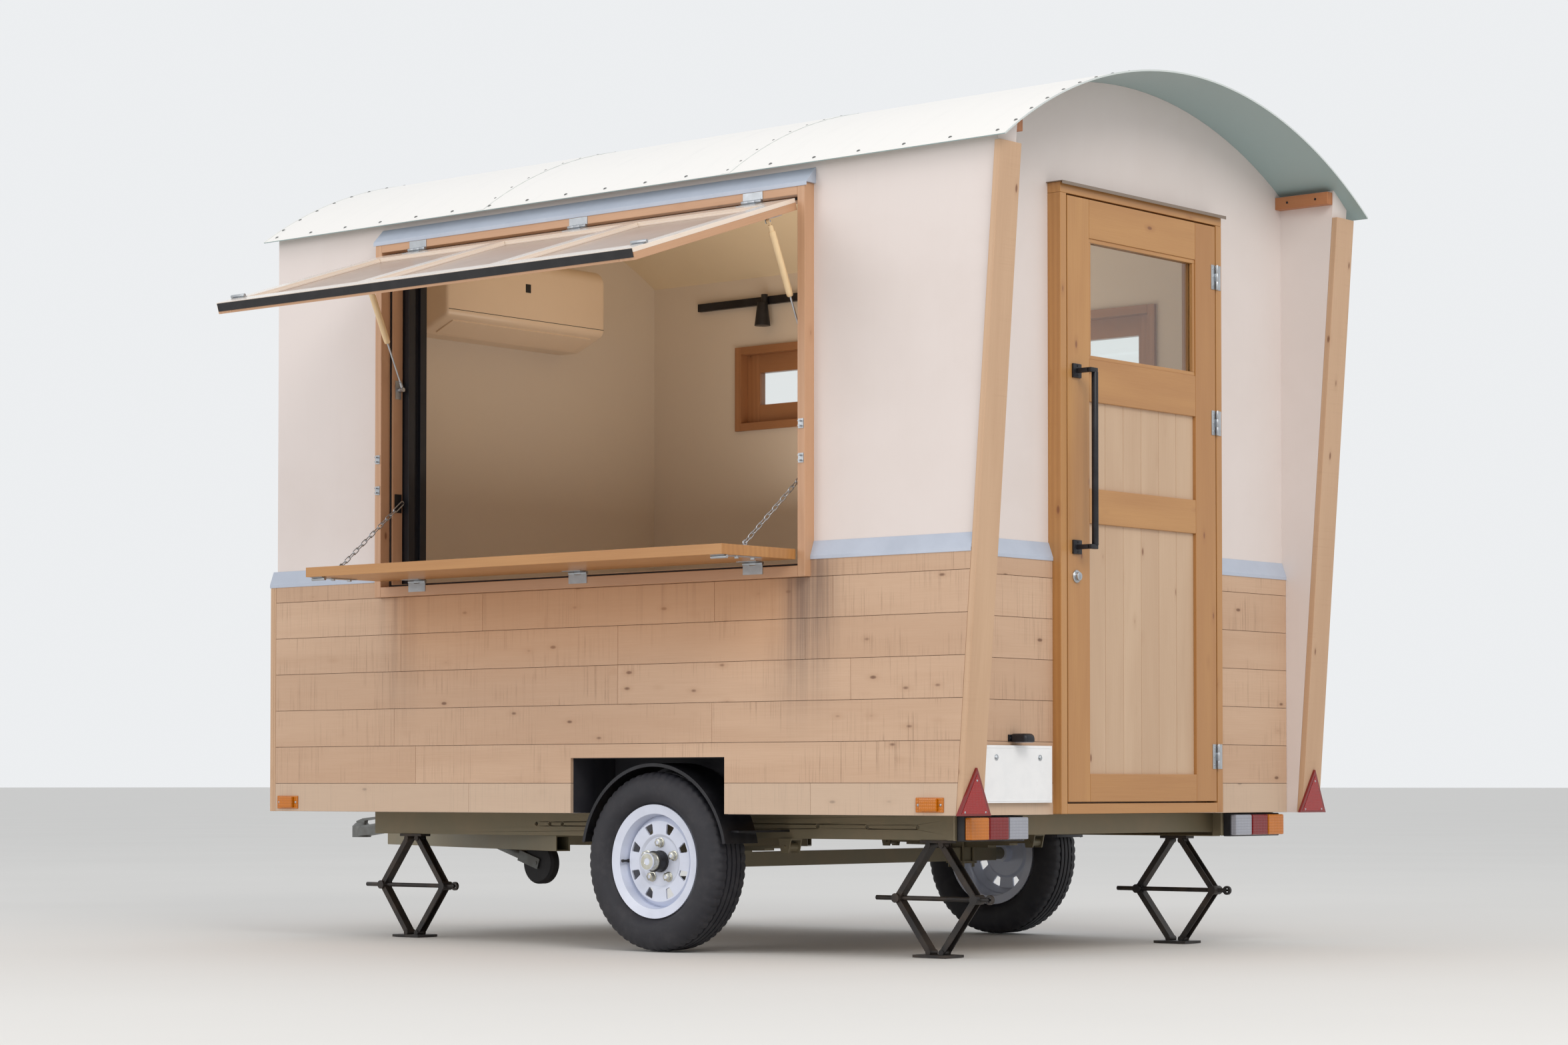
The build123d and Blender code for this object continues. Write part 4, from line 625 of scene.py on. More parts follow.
    @staticmethod
    def ledge_sheet() -> bpy.types.Material:
        """Pale blue coated sheet of the ledge, with painted grey-brown shade where it covers the head of the
        door.
        """
        book = Book("ledge_sheet")
        point = book.place()
        reach, foot = 0.03, 1.4
        # Over the door head the same sheet is darkened to grey-brown as painted shade.
        door_head_painted_shade = book.part(point, Axis.X) < PLAN.rear_x * MM + reach
        door_head_painted_shade = door_head_painted_shade * (book.part(point, Axis.Z) > foot)
        patch = book.noise(point, 9.0, 4.0, 0.6)
        sheet = book.mix(patch, rgb(190, 198, 213), rgb(170, 179, 194))
        return book.close(
            {
                "Base Color": book.mix(door_head_painted_shade, sheet, rgb(128, 112, 98)),
                "Roughness": patch * 0.15 + 0.36,
                "Coat Weight": 0.2,
            }
        )

    @staticmethod
    def window_pane() -> bpy.types.Material:
        """Clear sheet glass with the faintest film of dust."""
        book = Book("window_pane")
        return book.close(
            {
                "Base Color": (0.93, 0.96, 0.95, 1.0),
                "Roughness": book.noise(book.place(), 5.0, 4.0, 0.6).band(0.5, 0.9) * 0.06 + 0.01,
                "Transmission Weight": 1.0,
                "IOR": 1.45,
            }
        )


class Shape:
    """Mesh data gathered piece by piece, in millimetres, with a grain and a tone for each board."""

    def __init__(self, seed: int) -> None:
        """Starts an empty mesh.

        Args:
            seed: Start of the boards' random grain and tone.
        """
        self.points: list[Vector] = []
        self.faces: list[list[int]] = []
        self.grain: list[float] = []
        self.tone: list[float] = []
        self.random = random.Random(seed)

    def take(
        self, bm: bmesh.types.BMesh, along: Axis = Axis.X, place: Matrix | None = None, ease: float = 0.0
    ) -> None:
        """Adds a bmesh and frees it.

        Args:
            bm: The mesh, in its own frame.
            along: Direction of its grain in that frame.
            place: Where that frame stands.
            ease: Width of its eased edges.
        """
        if ease:
            bmesh.ops.bevel(bm, geom=list(bm.edges), offset=ease, segments=2, profile=0.6, affect="EDGES")
        order = {Axis.X: (0, 1, 2), Axis.Y: (1, 0, 2), Axis.Z: (2, 0, 1)}[along]
        shift = [self.random.uniform(-30, 30) for _ in order]
        tone = self.random.random()
        start = len(self.points)
        bm.verts.index_update()
        for vert in bm.verts:
            self.grain.extend(vert.co[i] * MM + shift[n] for n, i in enumerate(order))
            self.tone.append(tone)
            self.points.append((place @ vert.co if place else vert.co.copy()) * MM)
        self.faces += [[start + vert.index for vert in face.verts] for face in bm.faces]
        bm.free()

    def box(
        self, corner: Spot, far: Spot, ease: float = 1.5, along: Axis = Axis.X, place: Matrix | None = None
    ) -> None:
        """Adds a box with eased edges between two opposite corners."""
        bm = bmesh.new()
        bmesh.ops.create_cube(bm, size=1.0)
        spans = [sorted(pair) for pair in zip(corner, far)]
        for vert in bm.verts:
            vert.co = Vector([(low + high) / 2 + c * (high - low) for (low, high), c in zip(spans, vert.co)])
        self.take(bm, along, place, ease)

    def frame(
        self, corner: Spot, far: Spot, normal: Axis, widths: tuple[float, float], ease: float,
        grains: tuple[Axis, Axis], rails_through: bool = False, place: Matrix | None = None,
    ) -> None:
        """Adds two uprights and two rails round an opening.

        Args:
            corner: Lowest corner of the whole frame.
            far: Highest corner.
            normal: The axis that the frame faces.
            widths: Width of the uprights and of the rails.
            ease: Width of the eased edges.
            grains: Direction of the grain in the uprights and in the rails.
            rails_through: Whether the rails run past the uprights, and come first.
            place: Where its frame stands.
        """
        axes = [axis.value for axis in Axis if axis is not normal]
        first = 1 if rails_through else 0
        for kind in (first, 1 - first):
            thin, long = axes[kind], axes[1 - kind]
            for upper in (False, True):
                low, high = list(corner), list(far)
                if upper:
                    low[thin] = high[thin] - widths[kind]
                else:
                    high[thin] = low[thin] + widths[kind]
                if kind != first:
                    low[long] += widths[first]
                    high[long] -= widths[first]
                self.box(low, high, ease, grains[kind], place)

    def prism(
        self, outline: Outline, low: float, high: float, normal: Axis, ease: float,
        along: Axis = Axis.X, place: Matrix | None = None,
    ) -> None:
        """Adds a flat outline drawn out along an axis.

        Args:
            outline: Points in the two other axes, in X, Y, Z order.
            low: Where it starts along the axis.
            high: Where it ends.
            normal: The axis.
            ease: Width of the eased edges.
            along: Direction of the grain.
            place: Where its frame stands.
        """
        low, high = sorted((low, high))
        bm = bmesh.new()
        ring = []
        for point in outline:
            spot = list(point)
            spot.insert(normal.value, low)
            ring.append(bm.verts.new(spot))
        grown = bmesh.ops.extrude_face_region(bm, geom=[bm.faces.new(ring)])
        moved = [v for v in grown["geom"] if isinstance(v, bmesh.types.BMVert)]
        step = Vector([high - low if axis is normal else 0.0 for axis in Axis])
        bmesh.ops.translate(bm, verts=moved, vec=step)
        bmesh.ops.recalc_face_normals(bm, faces=list(bm.faces))
        self.take(bm, along, place, ease)

    def lathe(self, profile: Outline, place: Matrix, steps: int) -> None:
        """Adds a profile of (radius, height) turned about its frame's Z axis, closed at both ends."""
        bm = bmesh.new()
        turns = [2 * math.pi * n / steps for n in range(steps)]
        rings = []
        for radius, height in profile:
            around = turns if radius else turns[:1]
            spots = [(radius * math.cos(t), radius * math.sin(t), height) for t in around]
            rings.append([bm.verts.new(spot) for spot in spots])
        for lower, upper in zip(rings, rings[1:]):
            for n in range(steps):
                m = (n + 1) % steps
                a, b = lower[n % len(lower)], lower[m % len(lower)]
                c, d = upper[m % len(upper)], upper[n % len(upper)]
                corners = list(dict.fromkeys((a, b, c, d)))
                if len(corners) > 2:
                    bm.faces.new(corners)
        for ring in (rings[0], rings[-1]):
            if len(ring) > 2:
                bm.faces.new(ring)
        bmesh.ops.recalc_face_normals(bm, faces=list(bm.faces))
        self.take(bm, Axis.Z, place)

    def loft(
        self, loops: list[list[Vector]], closed: bool = False, along: Axis = Axis.X,
        place: Matrix | None = None,
    ) -> None:
        """Adds a skin through loops of equal count, capped at both ends unless it is closed on itself."""
        bm = bmesh.new()
        rings = [[bm.verts.new(spot) for spot in loop] for loop in loops]
        for a, b in zip(rings, rings[1:] + rings[:1] if closed else rings[1:]):
            for k in range(len(a)):
                m = (k + 1) % len(a)
                bm.faces.new((a[k], a[m], b[m], b[k]))
        if not closed:
            bm.faces.new(rings[0])
            bm.faces.new(rings[-1])
        bmesh.ops.recalc_face_normals(bm, faces=list(bm.faces))
        self.take(bm, along, place)

    def tube(self, path: list[Vector], radius: float, closed: bool = False) -> None:
        """Adds a round bar that follows a path."""
        count, sides = len(path), 8
        loops = []
        side = None
        for n, spot in enumerate(path):
            before = path[(n - 1) % count] if closed or n else spot
            after = path[(n + 1) % count] if closed or n < count - 1 else spot
            ahead = (after - before).normalized()
            if side is None:
                side = ahead.orthogonal().normalized()
            side = (side - ahead * side.dot(ahead)).normalized()
            over = ahead.cross(side)
            turns = [2 * math.pi * k / sides for k in range(sides)]
            loops.append([spot + radius * (math.cos(t) * side + math.sin(t) * over) for t in turns])
        self.loft(loops, closed)

    def screw(self, spot: Spot, out: Spot, radius: float) -> None:
        """Adds a low domed screw head, hollow in the middle, that stands out along a direction."""
        profile = ((1.0, 0.2), (0.72, 0.48), (0.3, 0.6), (0.26, 0.35), (0.0, 0.3))
        dome = [(radius * across, radius * up) for across, up in profile]
        self.lathe([(radius, -0.5), *dome], facing(spot, out), 10)

    def mesh(self, name: str, smooth: float | None) -> bpy.types.Mesh:
        """Turns what was gathered into a mesh.

        Args:
            name: The mesh's name.
            smooth: Angle in degrees above which edges stay sharp, or None for flat faces.

        Returns:
            The mesh.
        """
        mesh = bpy.data.meshes.new(name)
        mesh.from_pydata([tuple(p) for p in self.points], [], self.faces)
        mesh.attributes.new("grain", "FLOAT_VECTOR", "POINT").data.foreach_set("vector", self.grain)
        mesh.attributes.new("tone", "FLOAT", "POINT").data.foreach_set("value", self.tone)
        if smooth is not None:
            mesh.shade_smooth()
            mesh.set_sharp_from_angle(angle=math.radians(smooth))
        return mesh


@dataclass
class Assembly:
    """Pieces that belong together and share the finishes."""

    finishes: Finishes

    def add(
        self, name: str, finish: str, shape: Shape, replaces: str = "", body: Body | None = Body.TRAILER,
        smooth: float | None = None,
    ) -> bpy.types.Object:
        """Turns a shape into a piece.

        Args:
            name: The piece's name.
            finish: Name of its finish.
            shape: What was gathered for it.
            replaces: Solid that it stands for, if any.
            body: The body that it rides on, or None to leave it unattached.
            smooth: Angle in degrees above which edges stay sharp, or None for flat faces.

        Returns:
            The piece.
        """
        mesh = shape.mesh(name, smooth)
        mesh.materials.append(self.finishes[finish])
        piece = bpy.data.objects.new(name, mesh)
        bpy.context.scene.collection.objects.link(piece)
        if body:
            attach(piece, body.value)
        if replaces:
            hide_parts(replaces)
        log.info("%s: %d faces", name, len(mesh.polygons))
        return piece


@dataclass
class Carried(Assembly):
    """The solids that keep their shape and only get a finish and softer edges."""

    rows: tuple = (
        # finish, softened edge in metres, solids
        ("cream_wall", 0.0, ("side_wall_left", "side_wall_right", "front_wall", "rear_wall")),
        ("room_lining", 0.0, ("roof_panel",)),
        ("ply_floor", 0.0, ("floor_deck",)),
        ("arch_black", 0.001, ("wheel_boxes",)),
        ("roof_sheet", 0.0, ("roof_skin",)),
        ("ledge_sheet", 0.0006, ("flashings",)),
        ("screen_black", 0.001, ("screen_cassette",)),
        ("zinc", 0.0004, ("awning_hardware", "counter_hardware", "door_hinges")),
        ("jamb_steel", 0.0004, ("hatch_hardware",)),
        ("zinc", 0.0, ("strut_rod_rear", "strut_rod_front")),
        ("strut_beige", 0.0, ("strut_cylinder_rear", "strut_cylinder_front")),
        ("black_metal", 0.0008, ("light_track", "mudguards")),
        ("window_pane", 0.0, ("door_glass", "window_glass")),
        # The panels' colour is a painted reflection of the wall in clear panes.
        ("infill_painted_reflection", 0.001, ("awning_panels",)),
        ("olive_steel", 0.0015, ("chassis_rails", "cross_members", "drawbar_legs")),
        ("olive_steel", 0.0015, ("axle_beam", "leaf_springs")),
        ("olive_steel", 0.001, ("jockey_bracket", "lamp_brackets")),
        ("grey_cast", 0.001, ("coupling_head", "jockey_post")),
        ("seal_rubber", 0.0, ("jockey_wheel",)),
        ("jack_black", 0.0008, ("jack_rear_left", "jack_rear_right", "jack_front_left", "jack_front_right")),
        ("reflector_rim", 0.0012, ("rear_triangles",)),
        ("plate_white", 0.0008, ("number_plate",)),
        # Rims: white with a blue tint of painted shade.
        ("wheel_white", 0.0, ("rim_left", "rim_right")),
    )

    def build(self) -> None:
        """Gives each solid its finish, welded and softened where it has an edge width."""
        for finish, edge, names in self.rows:
            for name in names:
                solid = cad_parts[name]
                solid.data.materials.clear()
                solid.data.materials.append(self.finishes[finish])
                if edge:
                    weld = solid.modifiers.new("weld", "WELD")
                    weld.merge_threshold = 0.00001
                    soft = solid.modifiers.new("soft", "BEVEL")
                    soft.width = edge
                    soft.segments = 2
                    soft.limit_method = "ANGLE"
                    soft.angle_limit = math.radians(40)
                log.info("%s: dressed", name)


@dataclass(frozen=True)
class Opening:
    """A place without planks: between two ends, all that lies below a height, or else above it."""

    rear: float
    front: float
    limit: float
    below: bool
    sliver: float = 4.0

    def cut(self, outline: Outline) -> list[Outline]:
        """One plank's outline with the opening taken out.

        Args:
            outline: Four corners: rear low, front low, front high, rear high.

        Returns:
            The outlines that are left.
        """
        (rear0, z0), (front, _), (_, z1), (rear1, _) = outline
        clear = z0 >= self.limit if self.below else z1 <= self.limit
        if clear or front <= self.rear or rear0 >= self.front:
            return [outline]
        if z1 <= self.limit + self.sliver if self.below else z0 >= self.limit - self.sliver:
            parts = []
            if rear0 < self.rear:
                parts.append([(rear0, z0), (self.rear, z0), (self.rear, z1), (rear1, z1)])
            if front > self.front:
                parts.append([(self.front, z0), (front, z0), (front, z1), (self.front, z1)])
            return parts
        rears = [(rear0, z0), (rear1, z1)]
        (near, open_z), (far, shut_z) = rears if self.below else rears[::-1]
        edge = [(rear0, self.limit)]
        if rear0 < self.rear:
            edge = [(near, open_z), (self.rear, open_z), (self.rear, self.limit)]
        if front > self.front:
            edge += [(self.front, self.limit), (self.front, open_z), (front, open_z)]
        else:
            edge.append((front, self.limit))
        return [[*edge, (front, shut_z), (far, shut_z)]]


@dataclass
class Cladding(Assembly):
    """Horizontal planks round the lower body, course by course, with butt joints."""

    side_joints: tuple = (
        # butt joints of each course on the hatch side, from the bottom, as X
        (-1500.0, -2900.0),
        (-1260.0,),
        (-1160.0, -2520.0),
        (-2140.0, -3050.0),
        (-1190.0, -2140.0, -2880.0),
        (-1560.0, -2530.0, -2985.0),
        (-1800.0, -2600.0),
    )
    front_joints: tuple = (-260.0, 330.0, -60.0, 470.0, 150.0, -420.0, 40.0)
    far_side_shift: float = -260.0
    gap: float = 0.6
    butt: float = 0.5
    ease: float = 0.9
    lining_t: float = 2.0
    lining_edge: float = 12.0
    board_drop: float = 34.0

    def courses(self) -> list[tuple[float, float]]:
        """Lower and upper edge of each course of planks."""
        top = PLAN.base_z + PLAN.cladding_h
        seams = [PLAN.base_z, PLAN.base_z + PLAN.first_plank]
        while seams[-1] < top - 1:
            seams.append(min(seams[-1] + PLAN.plank_pitch, top))
        return [(low + self.gap, high - self.gap) for low, high in zip(seams, seams[1:])]

    def side(self, sign: int, seed: int, name: str) -> None:
        """Planks of one side, cut round the wheel arch, and under the sill on the hatch side.

        Args:
            sign: 1 on the hatch side, -1 on the far side.
            seed: Start of the random grain.
            name: The solid that they stand for.
        """
        shape = Shape(seed)
        arch = Opening(PLAN.axle_x - PLAN.arch, PLAN.axle_x + PLAN.arch, PLAN.base_z + PLAN.arch_h, True)
        t = PLAN.casing_t
        hatch = Opening(PLAN.hatch_rear_x - t, PLAN.hatch_front_x + t, PLAN.sill_z - PLAN.sill_t, False)
        shift = 0.0 if sign > 0 else self.far_side_shift
        front = PLAN.front_x - PLAN.corner_trim - self.butt
        for (z0, z1), joints in zip(self.courses(), self.side_joints):
            opening = arch if z0 < arch.limit else hatch
            cuts = [front, *(x + shift for x in joints), None]
            for head, tail in zip(cuts, cuts[1:]):
                rears = [PLAN.wing_x(z) + PLAN.edge_board_t if tail is None else tail for z in (z0, z1)]
                rear0, rear1 = (x + self.butt for x in rears)
                outline = [(rear0, z0), (head - self.butt, z0), (head - self.butt, z1), (rear1, z1)]
                plain = opening is hatch and sign < 0
                for piece in [outline] if plain else opening.cut(outline):
                    shape.prism(piece, sign * PLAN.wall_y, sign * PLAN.face_y, Axis.Y, self.ease)
        self.add(name + "_planks", "planks", shape, name)

    def ends(self) -> None:
        """Planks of the front wall, and beside the door."""
        shape = Shape(37)
        half = PLAN.face_y - PLAN.corner_trim - self.butt
        door = PLAN.door_w / 2
        for (z0, z1), cut in zip(self.courses(), self.front_joints):
            for x0, x1, spans in (
                (PLAN.front_wall_x, PLAN.front_x, ((-half, cut), (cut, half))),
                (PLAN.rear_x, PLAN.rear_wall_x, ((-PLAN.inner_y, -door), (door, PLAN.inner_y))),
            ):
                for a, b in spans:
                    shape.box((x0, a + self.butt, z0), (x1, b - self.butt, z1), self.ease, Axis.Y)
        self.add("cladding_end_planks", "planks", shape, "cladding_ends")

    def arch_lining(self) -> None:
        """Black lining in the thickness of both walls round the wheel arches."""
        shape = Shape(43)
        t = self.lining_t
        x0, x1 = PLAN.axle_x - PLAN.arch, PLAN.axle_x + PLAN.arch
        low, top = PLAN.base_z + 1, PLAN.base_z + PLAN.arch_h
        for sign in SIDES:
            a, b = sign * (PLAN.inner_y + self.butt), sign * (PLAN.face_y - self.lining_edge)
            for begin, end, foot in ((x0, x0 + t, low), (x1 - t, x1, low), (x0 + t, x1 - t, top - t)):
                shape.box((begin, a, foot), (end, b, top), 0.4)
        self.add("arch_lining", "arch_black", shape)

    def corner_boards(self) -> None:
        """Leaning boards on the wings, and the trims at the front corners."""
        shape = Shape(41)
        base, board = PLAN.base_z, PLAN.edge_board_t
        foot = PLAN.wing_x(base)
        tall = PLAN.bow_z(PLAN.wall_y, PLAN.skin_t) - base
        back = foot - PLAN.wing_x(base + tall)
        lean, length = math.atan2(back, tall), math.hypot(tall, back)
        place = Matrix.Translation((foot, 0.0, base)) @ Matrix.Rotation(-lean, 4, "Y")
        slope, skew = board * math.cos(lean), board * math.sin(lean)
        top = length - self.board_drop
        outline = [(0.0, 0.0), (slope, -skew), (slope, top - skew), (0.0, top)]
        trim = PLAN.corner_trim
        for sign in SIDES:
            shape.prism(outline, sign * PLAN.inner_y, sign * PLAN.face_y, Axis.Y, 2.0, Axis.Z, place)
            for y, x0, x1 in (
                (PLAN.face_y - trim, PLAN.front_wall_x, PLAN.front_x),
                (PLAN.wall_y, PLAN.front_x - trim, PLAN.front_wall_x - 0.4),
            ):
                shape.box((x0, sign * y, base), (x1, sign * PLAN.face_y, base + PLAN.cladding_h), 1.5, Axis.Z)
        self.add("edge_board_set", "edge_wood", shape, "edge_boards")

    def build(self) -> None:
        """Makes all the planks and corner boards."""
        self.side(1, 11, "cladding_left")
        self.side(-1, 23, "cladding_right")
        self.ends()
        self.arch_lining()
        self.corner_boards()


@dataclass
class Roof(Assembly):
    """Screws, lapped seams and rolled edges of the roof sheet, and the blocks under its eaves."""

    seams: tuple[float, float] = (-1567.0, -2594.0)
    pitch: float = 166.0
    rear_overhang: float = 35.0
    screw_r: float = 6.2
    eave_inset: float = 26.0
    row_steps: int = 12
    lap: float = 16.0
    strip_steps: int = 48
    block_w: float = 30.0
    block_screw: float = 45.0
    first_screw: float = 40.0
    last_screw: float = 20.0
    lap_t: float = 1.4
    edge_r: float = 2.4

    def spot(self, x: float, angle: float, out: float) -> Spot:
        """A point on the roof bow, an angle away from the crown."""
        radius = PLAN.roof_r + out
        return (x, radius * math.sin(angle), PLAN.arc_z + radius * math.cos(angle))

    def sheet(self) -> None:
        """Makes the screws, seams and edges of the sheet."""
        limit = math.asin(PLAN.roof_half / PLAN.roof_r)
        front = PLAN.roof_front_x
        rear = PLAN.wing_x(PLAN.base_z + PLAN.eave_height) - self.rear_overhang
        first = front - self.first_screw
        count = math.ceil((first - rear - self.last_screw) / self.pitch)
        eave = limit - self.eave_inset / PLAN.roof_r
        places = [(first - n * self.pitch, sign * eave) for sign in SIDES for n in range(count)]
        row = [limit * n / self.row_steps for n in range(1 - self.row_steps, self.row_steps)]
        places += [(x, angle) for x in (front - self.lap, *self.seams, rear + self.lap) for angle in row]
        screws = Shape(5)
        for x, angle in places:
            out = (0.0, math.sin(angle), math.cos(angle))
            screws.screw(self.spot(x, angle, -self.lap_t), out, self.screw_r)
        self.add("roof_screws", "grey_cast", screws, smooth=50.0)
        laps = Shape(6)
        for x in self.seams:
            self.strip(laps, x - self.lap, x + self.lap, 0.1, self.lap_t, limit)
        for x0, x1 in ((front - 4.0, front + 0.4), (rear - 0.4, rear + 4.0)):
            self.strip(laps, x0, x1, -PLAN.skin_t - 1.0, 1.0, limit)
        for sign in SIDES:
            ends = [Vector(self.spot(x, sign * limit, -PLAN.skin_t / 2)) for x in (rear, front)]
            laps.tube(ends, self.edge_r)
        self.add("roof_laps", "roof_sheet", laps, smooth=40.0)

    def strip(self, shape: Shape, x0: float, x1: float, low: float, high: float, limit: float) -> None:
        """Adds a strip that follows the bow between two heights over the sheet."""
        corners = ((x0, low), (x1, low), (x1, high), (x0, high))
        angles = [limit * (2 * n / self.strip_steps - 1) for n in range(self.strip_steps + 1)]
        shape.loft([[Vector(self.spot(x, angle, out)) for x, out in corners] for angle in angles])

    def blocks(self) -> None:
        """Blocks in the porch under the eaves, each with two screws."""
        low, high = (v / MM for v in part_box("eave_blocks"))
        blocks, screws = Shape(7), Shape(8)
        x0, x1 = low.x + 1, high.x
        top = min(high.z, PLAN.bow_z(PLAN.inner_y, 6.0)) - 3
        face = PLAN.inner_y - self.block_w
        for sign in SIDES:
            blocks.box((x0, sign * face, low.z), (x1, sign * PLAN.inner_y, top))
            for x in (x0 + self.block_screw, x1 - self.block_screw):
                screws.screw((x, sign * face, (low.z + top) / 2), (0.0, -sign, 0.0), 4.0)
        self.add("eave_block_pair", "block_wood", blocks, "eave_blocks")
        self.add("eave_block_screws", "black_metal", screws, smooth=50.0)

    def build(self) -> None:
        """Makes what lies on the sheet and under it."""
        self.sheet()
        self.blocks()


@dataclass
class Hatch(Assembly):
    """Casing of the hatch, its seals, and what hangs in it: awning, counter and chains."""

    flap_t: float = 35.0
    face_t: float = 13.0
    seal_t: float = 2.5
    seal_w: float = 5.0
    seal_h: float = 8.0
    stop_gap: float = 8.0
    stop: float = 10.0
    stop_depth: float = 43.0
    awning_y: float = 972.0
    awning_z: float = 1883.0
    awning_len: float = 731.0
    awning_drop: float = 18.0
    hinge_out: float = 6.0
    stile: float = 60.0
    rail: float = 70.0
    bays: int = 3
    bead: float = 6.0
    bead_top: float = -8.0
    back_bead: tuple[float, float] = (-27.0, -22.0)
    edge_seal: tuple[float, float] = (-27.0, -2.0)
    gap: float = 6.0
    counter_joints: tuple[float, float] = (0.36, 0.70)
    chain_inset: float = 30.0
    chain_foot: tuple[float, float] = (1164.0, 865.0)
    chain_head: tuple[float, float] = (900.0, 1081.0)
    chain_links: int = 13
    chain_hook: float = 52.0
    hook_r: float = 6.2
    hook_wire: float = 2.0
    hook_in: float = 6.0
    link_lap: float = 2.6
    link_r: float = 6.0
    link_wire: float = 1.6
    strut_in: float = 28.0
    strut_top: tuple[float, float] = (1060.0, 1801.0)
    strut_foot: tuple[float, float] = (898.0, 1449.0)
    collar: tuple[float, float] = (26.0, 8.0)

    def casing(self) -> None:
        """Boards of the casing, with the stop behind them and black seals."""
        x0, x1 = PLAN.hatch_rear_x, PLAN.hatch_front_x
        y0, y1 = PLAN.inner_y, PLAN.casing_y
        sill, head = PLAN.sill_z, PLAN.head_z
        low, high = sill - PLAN.sill_t, head + PLAN.header_t
        boards = Shape(51)
        for x in (x0 - PLAN.casing_t, x1):
            boards.box((x, y0, low), (x + PLAN.casing_t, y1, high), along=Axis.Z)
        for foot, top in ((low, sill), (head, high)):
            boards.box((x0 + SEAM, y0, foot), (x1 - SEAM, y1, top))
        stop_y = y1 - self.flap_t - self.stop_gap
        corner, far = (x0, stop_y - self.stop_depth, sill), (x1, stop_y, head)
        boards.frame(corner, far, Axis.Y, (self.stop, self.stop), 1.5, (Axis.Z, Axis.X))
        self.add("hatch_boards", "casing_wood", boards, "hatch_casing")
        seals = Shape(52)
        corner, far = (x0, stop_y, sill), (x1, stop_y + self.seal_w, head)
        seals.frame(corner, far, Axis.Y, (self.seal_w, self.seal_h), 1.5, (Axis.X, Axis.X))
        self.add("hatch_seals", "seal_rubber", seals)

    def flap_frame(self) -> Matrix:
        """Frame of the open flap: X along the trailer, Y out along the flap, Z up through its outer face."""
        drop = math.radians(self.awning_drop)
        out = Vector((0.0, math.cos(drop), -math.sin(drop)))
        up = Vector((0.0, math.sin(drop), math.cos(drop)))
        turn = Matrix((Vector((1.0, 0.0, 0.0)), out, up)).transposed().to_4x4()
        spot = Vector((PLAN.hatch_rear_x + self.gap, self.awning_y, self.awning_z)) - up * self.hinge_out
        return Matrix.Translation(spot) @ turn

    def awning(self) -> None:
        """Frame of the flap, with beads round its panels and a black seal on its outer edge."""
        place = self.flap_frame()
        reach = self.awning_len - self.seal_t
        width = PLAN.hatch_front_x - PLAN.hatch_rear_x - 2 * self.gap
        bay = (width - (self.bays + 1) * self.stile) / self.bays
        inner, face, beads = Shape(61), Shape(64), Shape(62)
        layers = ((inner, -self.flap_t, -self.face_t, 1.2), (face, -self.face_t, 0.0, 1.0))
        bars = []
        for n in range(self.bays + 1):
            x = n * (bay + self.stile)
            trim = 0.0 if n in (0, self.bays) else self.rail + SEAM
            bars.append((x, x + self.stile, trim, reach - trim, Axis.Y))
        for low in (0.0, reach - self.rail):
            bars.append((self.stile + SEAM, width - self.stile - SEAM, low, low + self.rail, Axis.X))
        for x0, x1, low, high, along in bars:
            for shape, z0, z1, ease in layers:
                shape.box((x0, low, z0), (x1, high, z1), ease, along, place)
        for n in range(self.bays):
            x = self.stile + n * (bay + self.stile)
            for shape, z0, z1 in ((face, -self.face_t, self.bead_top), (beads, *self.back_bead)):
                corner, far = (x, self.rail, z0), (x + bay, reach - self.rail, z1)
                grains = (Axis.Y, Axis.X)
                shape.frame(corner, far, Axis.Z, (self.bead, self.bead), 0.8, grains, True, place)
        self.add("awning_boards", "casing_wood", inner, "awning_frame", Body.AWNING)
        # The face boards' near-white colour is a painted highlight of glare on varnished wood.
        self.add("awning_face_boards", "flap_wood_painted_glare", face, body=Body.AWNING)
        self.add("awning_beads", "varnished", beads, body=Body.AWNING)
        seal = Shape(63)
        z0, z1 = self.edge_seal
        seal.box((4.0, reach, z0), (width - 4.0, self.awning_len, z1), 0.8, Axis.X, place)
        self.add("awning_edge_seal", "seal_rubber", seal, body=Body.AWNING)

    @staticmethod
    def jambs(inset: float) -> tuple[tuple[str, float], tuple[str, float]]:
        """The hatch's rear and front end by name, each an inset within the opening."""
        return ("rear", PLAN.hatch_rear_x + inset), ("front", PLAN.hatch_front_x - inset)

    def counter(self) -> None:
        """Three glued boards of the counter."""
        low, high = (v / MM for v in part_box("counter_top"))
        shape = Shape(71)
        cuts = [low.y + (high.y - low.y) * share for share in (0.0, *self.counter_joints, 1.0)]
        for a, b in zip(cuts, cuts[1:]):
            shape.box((low.x, a, low.z), (high.x, b, high.z), 0.7)
        self.add("counter_boards", "varnished", shape, "counter_top", Body.COUNTER)

